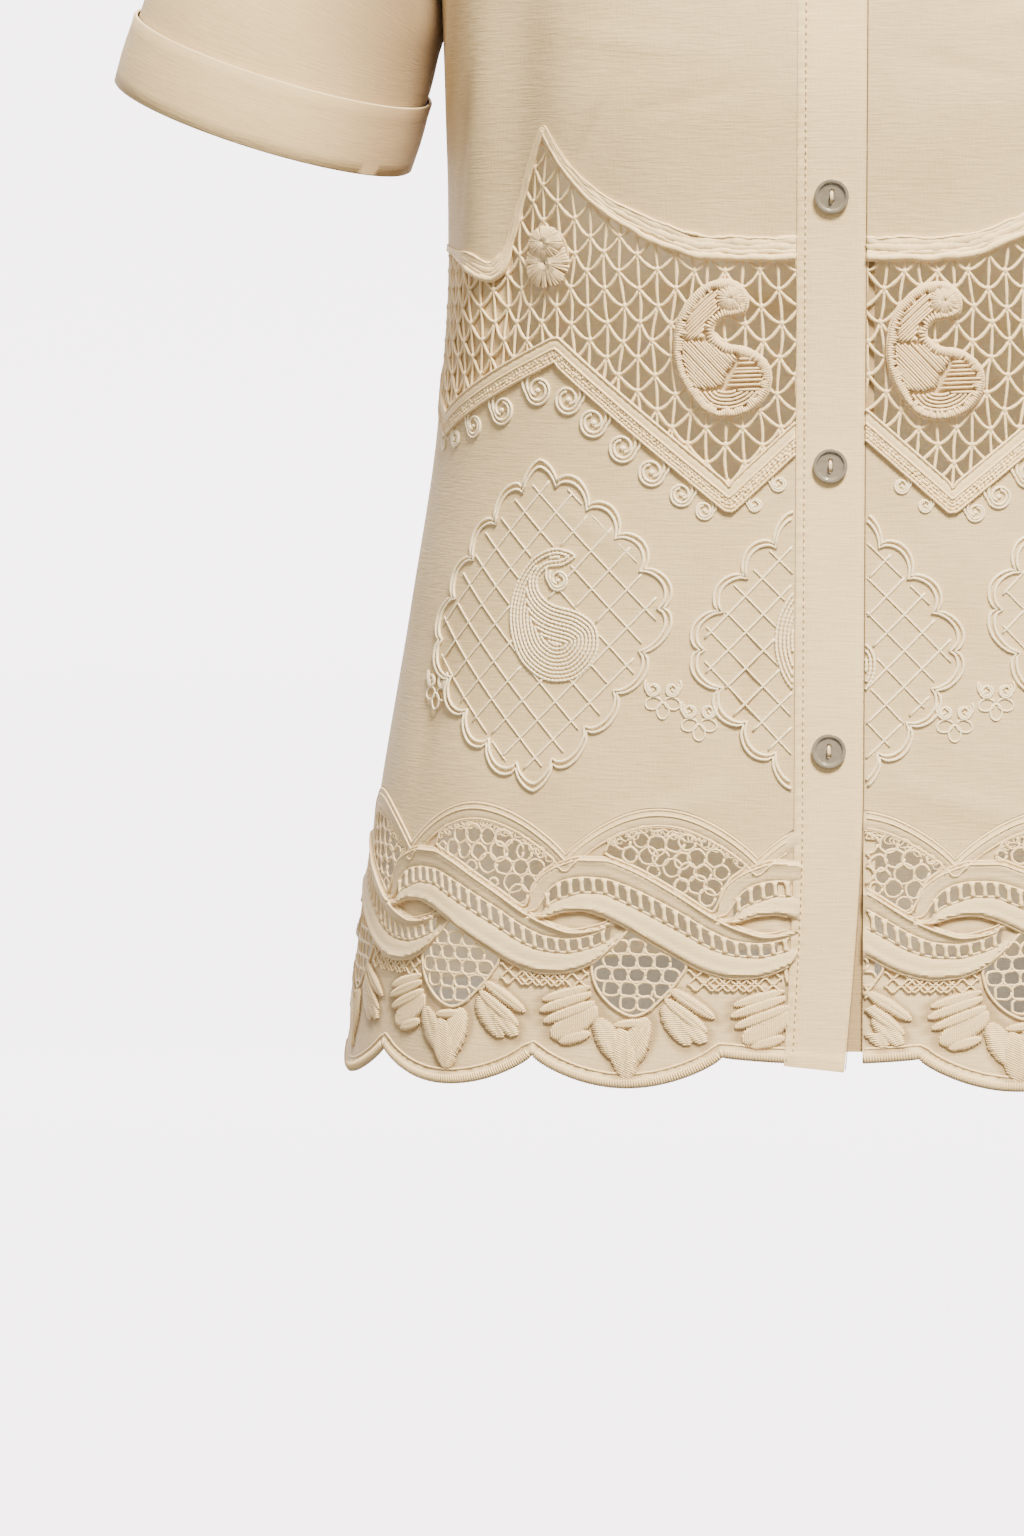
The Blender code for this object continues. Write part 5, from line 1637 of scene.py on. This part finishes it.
FAN_ROWS = ((-0.0395, 3), (-0.0455, 4), (-0.0515, 5), (-0.0575, 4), (-0.0635, 2))
FAN_CELL = (0.0074, 0.0060)
FAN_OUTLINE = (
    (0.0300, -0.0318), (0.0400, -0.0375), (0.0530, -0.0455), (0.0500, -0.0530),
    (0.0440, -0.0600), (0.0370, -0.0665), (0.0300, -0.0690), (0.0220, -0.0655),
    (0.0155, -0.0590), (0.0125, -0.0520), (0.0130, -0.0465), (0.0225, -0.0385),
)
# from the cusp: along, down, half length, half width, turn in degrees, height
LEAVES = (
    (0.0045, -0.0726, 0.0120, 0.0050, 26, 0.0008),
    (0.0046, -0.0790, 0.0072, 0.0022, 14, 0.0009),
    (0.0008, -0.0602, 0.0112, 0.0018, 16, 0.0009),
    (0.0006, -0.0640, 0.0125, 0.0021, 19, 0.0013),
    (0.0022, -0.0682, 0.0125, 0.0021, 21, 0.0012),
    (0.0495, -0.0722, 0.0098, 0.0044, -62, 0.0008),
    (0.0556, -0.0738, 0.0086, 0.0034, -48, 0.0009),
    (0.0560, -0.0630, 0.0112, 0.0024, -33, 0.0013),
    (0.0534, -0.0682, 0.0112, 0.0024, -38, 0.0012),
    (0.0205, -0.0800, 0.0108, 0.0048, -64, 0.0010),
    (0.0325, -0.0800, 0.0108, 0.0048, 64, 0.0010),
    (0.0265, -0.0850, 0.0105, 0.0054, 90, 0.0012),
    (0.0290, -0.0722, 0.0066, 0.0016, 6, 0.0010),
)
LEAF_PITCH, LEAF_THREAD = 0.00098, 0.00120
NET_ROWS = ((-0.0210, 0.0120), (0.0540, 0.0840))    # from the cusp, on the ground of the lace
HEM_MIDDLE = -0.65                   # the height at which the lace's width is taken
GAPS_FROM_PLACKET, GAPS_FROM_SIDE = 0.0050, 0.0020
EYE = ((-0.0108, -0.0272), (-0.0058, -0.0246), (0.0010, -0.0228), (0.0108, -0.0242),
       (0.0192, -0.0280), (0.0108, -0.0313), (0.0008, -0.0329), (-0.0070, -0.0305))


def scallop_edge(u):
    """Foot of the hem: scallops between notches, nearly straight beside the placket."""
    u = np.asarray(u, float)
    phase = np.mod((u - NOTCH) / REPEAT, 1.0)
    dip = SIDE_DIP * np.clip(np.abs(u) / 0.29, 0, 1) ** 2
    drop = np.where((u > NOTCH) & (u < NOTCH + REPEAT), FLAT_DROP, SCALLOP_DROP)
    return NOTCH_HEIGHT - dip - drop * np.sin(math.pi * phase) ** 0.75


def strand_line(table):
    table = np.array(table)
    return lambda along: HILL_LOW + smooth_curve(table[:, 0], table[:, 1], along)


strand_top, ladder_top = strand_line(STRAND_TOP), strand_line(LADDER_TOP)
ladder_foot, roll_foot = strand_line(LADDER_FOOT), strand_line(ROLL_FOOT)
cusps = [HILL_CUSP + REPEAT * k for k in range(-5, 5)]


def padded(share):
    """Rounded section of a roll, from one side to the other."""
    return np.sqrt(np.clip(1 - (2 * share - 1) ** 2, 0, 1))


def hem_relief(u, z):
    """Height of the rolls, leaves, eyes and edges off the ground of the lace."""
    lift = np.zeros_like(u)
    below_hill = hill_edge(u) - z
    lift += 0.0011 * padded(np.clip(below_hill / HILL_BAND, 0, 1))
    above_foot = z - scallop_edge(u)
    lift += 0.0013 * padded(np.clip(above_foot / 0.0052, 0, 1))
    for cusp in cusps:
        along = u - cusp
        on = (along > STRAND_ENDS[0]) & (along < STRAND_ENDS[1])
        if not on.any():
            continue
        d, level = along[on], z[on]
        top, upper = strand_top(d), ladder_top(d)
        lower, foot = ladder_foot(d), roll_foot(d)
        taper = np.clip((d - STRAND_ENDS[0]) / 0.010, 0.25, 1)
        taper *= np.clip((STRAND_ENDS[1] - d) / 0.012, 0.25, 1)
        part = lift[on]
        for high_edge, low_edge, high, ridge in ((top, upper, ROLL_HIGH * 0.85, 0.80),
                                                 (lower, foot, ROLL_HIGH, 0.20)):
            wide = np.maximum(high_edge - low_edge, 0.0004)
            share = (level - low_edge) / wide
            roll = (share > 0) & (share < 1)
            section = 0.66 * padded(share) + 0.50 * np.exp(-((share - ridge) / 0.14) ** 2)
            part = np.where(roll, high * taper * section, part)
        part = np.where((level < upper) & (level > lower), 0.0, part)
        lift[on] = part
    return HEM_LIFT + lift


def wavy(path, random, size):
    return path + size * random.normal(size=path.shape)


def loop_of(middle, half, rows=14, square=2.0):
    """Closed loop round one gap of a net."""
    angle = round_angles(rows)
    c, s = np.cos(angle), np.sin(angle)
    x = np.sign(c) * np.abs(c) ** (2 / square)
    y = np.sign(s) * np.abs(s) ** (2 / square)
    return pairs(middle[0] + half[0] * x, middle[1] + half[1] * y)


def lens_outline(cusp):
    """The lens between a hill's band, the strand under it and the next strand's head."""
    us = cusp + np.linspace(0.0175, 0.0790, 22)
    upper = pairs(us, hill_edge(us) - HILL_BAND)
    upper[0, 1] = float(strand_top(0.0175)) + 0.0022
    head = cusp + REPEAT + np.array([-0.0060, -0.0122, -0.0172, -0.0190])
    head_line = pairs(head, strand_top(np.array([-0.0060, -0.0122, -0.0172, -0.0178])) + 0.001)
    us = cusp + np.linspace(0.0620, 0.0200, 14)
    lower = pairs(us, strand_top(us - cusp) + 0.0008)
    return np.vstack([upper[upper[:, 1] > head_line[0, 1]], head_line, lower])


def ladder_outline(cusp):
    us = np.linspace(*LADDER_ENDS, 44)
    return np.vstack([pairs(cusp + us, ladder_top(us)),
                      pairs(cusp + us, ladder_foot(us))[::-1]])


def trimmed(hole, low, high):
    """A hole kept inside the piece's width, or nothing if too little is left."""
    hole = hole.copy()
    hole[:, 0] = np.clip(hole[:, 0], low, high)
    step = np.linalg.norm(hole - np.roll(hole, 1, axis=0), axis=1)
    hole = hole[step > 1e-6]
    if len(hole) < 4 or np.ptp(hole[:, 0]) < 0.003:
        return None
    return hole


def hem_shade(u, z):
    """Painted shade on the ground close round each leaf."""
    shade = np.full_like(u, -1.0)
    for cusp in cusps:
        near = np.abs(u - cusp - 0.03) < 0.06
        for at, down, half_long, half_wide, turn, _ in LEAVES:
            c, s = bearing(turn)
            x, y = u[near] - cusp - at, z[near] - HILL_LOW - down
            reach = np.hypot((x * c + y * s) / (half_long + 0.001),
                             (y * c - x * s) / (half_wide + 0.001))
            shade[near] = np.maximum(shade[near], 0.85 * np.exp(-((reach - 1) / 0.3) ** 2))
    return shade


# The lace ground takes strong painted shade in its sunk places and round the leaves, and painted
# highlight on its raised ones.
needle_lace = linen_finish("needle_lace", (0.80, 0.635, 0.395, 1.0), (0.66, 0.51, 0.30, 1.0), 0.5,
                           0.85, 0.5)
for side, letter in SIDES.items():
    random = np.random.default_rng(71 + side)
    upper_edge = edge_points(front, side, hill_edge, 0.0022, repeats(HILL_CUSP, side))
    upper_edge = [(u, z - SEAM) for u, z in upper_edge]
    lower_edge = edge_points(front, side, scallop_edge, 0.0022, repeats(NOTCH, side))
    near = abs(float(front_edge(side, HEM_MIDDLE))) + GAPS_FROM_PLACKET
    far = float(front.girth(-0.64)) - GAPS_FROM_SIDE
    low, high = (near, far) if side > 0 else (-far, -near)
    holes = []
    for cusp in cusps:
        fan = walk(np.array(FAN_OUTLINE) + [cusp, HILL_LOW], 0.0020, closed=True)
        for hole in (lens_outline(cusp), ladder_outline(cusp), fan):
            hole = trimmed(hole, low, high)
            if hole is not None:
                holes.append(hole)
    outline = [(u + (TUCK if side < 0 and u > front_edge(side, z) - 0.0003 else 0), z)
               for u, z in between(front, side, upper_edge, lower_edge)]
    ground = cloth("hem_lace_" + letter + "_ground", front, outline, HEM_STEP, holes=holes,
                   relief=hem_relief, thick=0.0007, margin=HEM_STEP * 0.55, shade=hem_shade)

    lace = Threads()

    def worked(path, wide, high_off, lift, closed=False, sides=5):
        if closed:
            path = np.vstack([path, path[:1]])
        near_edge = abs(float(front_edge(side, HEM_MIDDLE))) + 0.0004

        def keep(u, z):
            return ((u * side > near_edge) & (np.abs(u) < front.girth(z) - 0.0006)
                    & (z > scallop_edge(u) - 0.0006))
        for part in clipped(path, keep):
            if np.size(wide) > 1 and len(part) < len(path):
                continue
            heights = hem_relief(part[:, 0], part[:, 1]) if lift is None else lift
            sewn(lace, front, part, wide, high_off, lift=heights, sides=sides)

    for cusp in cusps:
        if not low - 0.12 < cusp < high + 0.03:
            continue
        us = np.arange(STRAND_ENDS[0] + 0.0006, STRAND_ENDS[1], 0.0013)
        for line, off, wide in ((strand_top, 0.0002, 0.0011), (strand_top, -0.0013, 0.0008),
                                (ladder_top, 0.0003, 0.0011), (ladder_foot, -0.0003, 0.0011),
                                (roll_foot, 0.0004, 0.0011)):
            path = pairs(cusp + us, line(us) + off)
            covered = us > REPEAT + 0.0195 if line is not roll_foot else us > REPEAT + 0.0230
            worked(path[~covered], wide, 0.0011, None)
        for at in np.arange(LADDER_ENDS[0] + 0.002, LADDER_ENDS[1] - 0.003, BAR_PITCH):
            top, foot = float(ladder_top(at)), float(ladder_foot(at + 0.0005))
            line = pairs(np.linspace(cusp + at, cusp + at + 0.0006, 5),
                         np.linspace(top + 0.0004, foot - 0.0004, 5))
            worked(line, np.array([0.0036, 0.0022, 0.0018, 0.0022, 0.0036]), 0.0014, 0.0003)
        eye = walk(EYE, 0.0014, closed=True) + [cusp, HILL_LOW]
        worked(eye, 0.0008, 0.0008, 0.0002, closed=True)
        lens = lens_outline(cusp)
        worked(walk(lens, 0.0016, closed=True, smooth=False), 0.0013, 0.0011, 0.0, closed=True)
        for row, level in enumerate(np.arange(-0.026, 0.016, LOOP_PITCH * 0.86)):
            for at in np.arange(0.0140 + LOOP_PITCH / 2 * (row % 2), 0.086, LOOP_PITCH):
                spot = np.array([cusp + at, HILL_LOW + level]) + 0.0008 * random.normal(size=2)
                gap = float(clearance(lens, spot[None])[0])
                if not inside(lens, spot[None])[0] or gap < 0.0009:
                    continue
                size = min(LOOP_PITCH * random.uniform(0.44, 0.62), gap + 0.0008)
                loop = wavy(loop_of(spot, (size, size * random.uniform(0.9, 1.08))), random, 0.00014)
                worked(loop, LOOP_RIM * random.uniform(0.6, 0.95), 0.0010, 0.0, closed=True)
        for at in np.arange(0.0200, 0.0770, 0.0021):
            size = random.uniform(0.0011, 0.0023)
            drop = HILL_BAND + random.uniform(0.0004, 0.0030)
            spot = (cusp + at, float(hill_edge(cusp + at)) - drop)
            worked(wavy(loop_of(spot, (size, size * 0.8), 9), random, 0.0003), 0.0008, 0.0009, 0.0,
                   closed=True)
        fan = walk(np.array(FAN_OUTLINE) + [cusp, HILL_LOW], 0.0016, closed=True)
        worked(fan, 0.0014, 0.0012, 0.0001, closed=True)
        for level, count in FAN_ROWS:
            for k in range(count):
                at = cusp + FAN_MIDDLE + (k - (count - 1) / 2) * FAN_CELL[0]
                cell = loop_of((at, HILL_LOW + level), (FAN_CELL[0] * 0.5, FAN_CELL[1] * 0.52),
                               square=2.7)
                worked(wavy(cell, random, 0.00016), LOOP_RIM * 0.85, 0.0010, 0.0, closed=True)
        for at, down, half_long, half_wide, turn, swell in LEAVES:
            c, s = bearing(turn)
            half_wide = half_wide * 1.18
            t = np.linspace(-1, 1, 7)
            for a in np.arange(-0.96, 0.97, LEAF_PITCH / half_long):
                reach = half_wide * math.sqrt(1 - a * a) * random.uniform(0.93, 1.07)
                x, y = a * half_long + t * reach * 0.45, t * reach
                spine = 1 - 0.30 * np.exp(-(t / 0.16) ** 2)
                stitch = pairs(cusp + at + x * c - y * s, HILL_LOW + down + x * s + y * c)
                dome = swell * math.sqrt(1 - a * a) * np.sqrt(np.clip(1.02 - t ** 2, 0, 1)) * spine
                worked(stitch, LEAF_THREAD * np.array([0.5, 1, 1, 1, 1, 1, 0.5]), 0.0009,
                       dome + HEM_LIFT + 0.0002)
        for first, last in NET_ROWS:
            for row in range(3):
                us = np.arange(first, last, 0.0011)
                wave = 0.0014 * np.cos(us * 2 * math.pi / 0.0068 + math.pi * row)
                path = pairs(cusp + us, HILL_LOW - 0.0500 - 0.0030 * row + wave)
                worked(path, 0.0010, 0.0009, 0.0002)
    for offset, wide in ((-0.0010, 0.0012), (-0.0034, 0.0008), (-HILL_BAND + 0.0006, 0.0010)):
        us = with_corners(run(low - 0.01, high + 0.01, 0.0013), repeats(HILL_CUSP, side))
        slope = slope_of(hill_edge, us, 0.001)
        worked(pairs(us, hill_edge(us) + offset * np.hypot(1, slope * 0.6)), wide,
               0.0010, None)
    us = with_corners(run(low - 0.004, high + 0.004, 0.0011), repeats(NOTCH, side))
    edge = walk(pairs(us, scallop_edge(us)), 0.0012, smooth=False)
    across = square_on(edge)
    for at, way in zip(edge, across):
        path = at + way * np.linspace(0.0001, 0.0038, 5)[:, None]
        worked(path, np.array([0.0009, 0.0012, 0.0011, 0.0009, 0.0005]), 0.0009, None)
    worked(edge + across * 0.0062, 0.0011, 0.0012, None)
    needlework = lace.mesh("hem_lace_" + letter + "_threads")
    for piece, finish in ((ground, needle_lace), (needlework, cotton)):
        dress(piece, finish, "hem_lace_" + letter)
    area_of(ground)

# Buttons: five pearl grey discs with a raised rim and two holes, sewn to the under band with
# cream cotton. They close the shirt through slits in the placket.
BUTTON_RADIUS = 0.0073
BUTTON_THICK = 0.0026
BUTTON_HEIGHTS = (-0.2100, -0.3273, -0.4416, -0.5628)
COLLAR_BUTTON_RISE = 0.45
BUTTON_RIM = 0.0013
BUTTON_DISH = 0.0008
HOLE_RADIUS = 0.0010
HOLE_APART = 0.0020
WALL, PLACKET_WALL = 0.0015, 0.0021  # of the collar stand and fronts, and of the placket
LAY = 0.0006                         # between a button and the cloth


def pearl_finish(name):
    """Grey pearl shell, cloudy, with a polished face."""
    finish = Finish(name)
    place = finish.node("ShaderNodeTexCoord", out=3)
    cloud = finish.noise(place, (260, 260, 420), 3.0, 0.6)
    grain = finish.noise(place, (1600, 260, 1600), 2.0, 0.5)
    colour = finish.blend(cloud * 0.9 + grain * 0.3 - 0.1, (0.125, 0.108, 0.088, 1.0),
                          (0.27, 0.245, 0.205, 1.0))
    return finish.surface(Base_Color=colour, Roughness=0.24, Coat_Weight=0.5,
                          Coat_Roughness=0.10,
                          Normal=finish.bump(cloud, 0.15, 0.0003))


pearl = pearl_finish("grey_pearl")
bpy.ops.object.select_all(action="DESELECT")
bpy.ops.mesh.primitive_cylinder_add(vertices=56, radius=BUTTON_RADIUS, depth=BUTTON_THICK,
                                    location=(0, 0, BUTTON_THICK / 2))
blank = bpy.context.object
blank.name = "button_blank"
bpy.ops.object.mode_set(mode="EDIT")
bpy.ops.mesh.select_mode(type="FACE")
bpy.ops.mesh.select_all(action="DESELECT")
bpy.ops.object.mode_set(mode="OBJECT")
for face in blank.data.polygons:
    face.select = face.normal.z > 0.9
bpy.ops.object.mode_set(mode="EDIT")
bpy.ops.mesh.inset(thickness=BUTTON_RIM, depth=0)
bpy.ops.mesh.inset(thickness=0.0006, depth=-BUTTON_DISH)
bpy.ops.mesh.inset(thickness=0.0022, depth=0.0001)
bpy.ops.object.mode_set(mode="OBJECT")
for way in (-1, 1):
    bpy.ops.mesh.primitive_cylinder_add(vertices=20, radius=HOLE_RADIUS, depth=0.01,
                                        location=(0, way * HOLE_APART, 0))
    drill = bpy.context.object
    cut = blank.modifiers.new("Hole", "BOOLEAN")
    cut.object = drill
    bpy.ops.object.select_all(action="DESELECT")
    blank.select_set(True)
    bpy.context.view_layer.objects.active = blank
    bpy.ops.object.modifier_apply(modifier=cut.name)
    bpy.data.objects.remove(drill)
soften = blank.modifiers.new("Soften", "BEVEL")
soften.width = 0.00022
soften.segments = 3
soften.limit_method = "ANGLE"
soften.angle_limit = math.radians(35)
settle(blank)

collar_seat = collar_foot[0] + collar_up[0] * COLLAR_STAND * COLLAR_BUTTON_RISE
collar_out = Vector((0.0, -collar_up[0][2], collar_up[0][1])).normalized()
seats = [(Vector((0.0, collar_seat[1], collar_seat[2])) + collar_out * (WALL / 2 + 2 * LAY),
          collar_out)]
for level in BUTTON_HEIGHTS:
    base = Vector(front.at(np.array([0.0]), np.array([level]))[0])
    out = Vector(front.outward(np.array([0.0]), np.array([level]))[0])
    seats.append((base + out * (PLACKET_WALL - WALL + LAY), out))
sewn_on = thread_finish("button_cotton", (0.88, 0.76, 0.56, 1.0), (0.74, 0.58, 0.36, 1.0))
for number, (seat, out) in enumerate(seats, 1):
    place = Matrix.Translation(seat) @ out.to_track_quat("Z", "Y").to_matrix().to_4x4()
    button = linked("button_%d_pearl" % number, blank.data.copy())
    button.data.transform(place)
    strands = Threads()
    for offset in (-0.00042, 0.0, 0.00042):
        t = np.linspace(-1, 1, 9)
        arch = np.stack([offset * (1 - 0.4 * t ** 2), t * (HOLE_APART + 0.0002),
                         BUTTON_THICK - BUTTON_DISH + 0.0004 - 0.0016 * np.abs(t) ** 5], axis=1)
        path = np.array([place @ Vector(point) for point in arch])
        strands.add(path, np.tile(np.array(out), (9, 1)), 0.00055, 0.0005)
    tied = strands.mesh("button_%d_thread" % number)
    button.data.materials.clear()
    dress(button, pearl, "button_%d" % number)
    dress(tied, sewn_on, "button_%d" % number)
bpy.data.objects.remove(blank)

# Floor, light and camera: a pale sweep behind and below, a wide soft light from above the
# front and a weaker one from the left, and the camera level with the chest.
FLOOR = -1.75
SWEEP = 8.00
SWEEP_BEND = 0.80
STAGE_HALF = 9.0
CAMERA_AT = (0.0, -2.437, -0.3715)
CAMERA_TO = (-0.13515, -0.137, -0.5704)
CAMERA_LENS = 126.84
BACKDROP = (0.86, 0.855, 0.86, 1.0)
BACKDROP_GLOW = 3.2
ROOM_LIGHT = 0.84
LIGHT_COLOUR = (1.0, 0.88, 0.68)
# place, what it points at, width, power in watts
KEY = ((0.80, -1.90, 2.40), (-0.05, -0.1, -0.45), 1.0, 555)
FILL = ((-2.2, -2.2, 0.2), (-0.05, 0.0, -0.45), 1.6, 4)

bend = np.linspace(0, math.pi / 2, 13)
profile = [(-STAGE_HALF, FLOOR)]
profile += [(SWEEP - SWEEP_BEND + SWEEP_BEND * math.sin(a),
             FLOOR + SWEEP_BEND - SWEEP_BEND * math.cos(a)) for a in bend]
profile.append((SWEEP, STAGE_HALF))
sweep_mesh = bpy.data.meshes.new("sweep")
sweep_mesh.from_pydata([(x, y, z) for y, z in profile for x in (-STAGE_HALF, STAGE_HALF)], [],
                       [(2 * k, 2 * k + 1, 2 * k + 3, 2 * k + 2)
                        for k in range(len(profile) - 1)])
sweep_mesh.shade_smooth()
sweep = linked("sweep", sweep_mesh)
paper = Finish("pale_paper")
depth_back = paper.node("ShaderNodeSeparateXYZ", None,
                        {0: paper.node("ShaderNodeTexCoord", out=3)}, out=1)
glow = paper.node("ShaderNodeMapRange", None, {0: depth_back, 1: 0.6, 2: 2.7})
glow_colour = paper.blend(glow, (0.0, 0.0, 0.0, 1.0), (1.0, 0.93, 0.985, 1.0))
sweep_mesh.materials.append(paper.surface(
    Base_Color=paper.blend(glow, (0.10, 0.10, 0.10, 1.0), BACKDROP), Roughness=0.95,
    Emission_Color=glow_colour, Emission_Strength=BACKDROP_GLOW))

world = bpy.data.worlds.new("soft_room")
world.use_nodes = True
world.node_tree.nodes["Background"].inputs["Color"].default_value = (*LIGHT_COLOUR, 1.0)
world.node_tree.nodes["Background"].inputs["Strength"].default_value = ROOM_LIGHT
bpy.context.scene.world = world


def point_at(thing, place, target):
    thing.location = place
    thing.rotation_euler = (Vector(target) - Vector(place)).to_track_quat("-Z", "Y").to_euler()


def soft_light(name, place, target, wide, power):
    lamp = bpy.data.lights.new(name, "AREA")
    lamp.shape = "DISK"
    lamp.size = wide
    lamp.energy = power
    lamp.color = LIGHT_COLOUR
    point_at(linked(name, lamp), place, target)


soft_light("key", *KEY)
soft_light("fill", *FILL)

view = bpy.data.cameras.new("camera")
view.sensor_fit = "VERTICAL"
view.sensor_height = 36
view.lens = CAMERA_LENS
camera = linked("camera", view)
point_at(camera, CAMERA_AT, CAMERA_TO)
bpy.context.scene.camera = camera
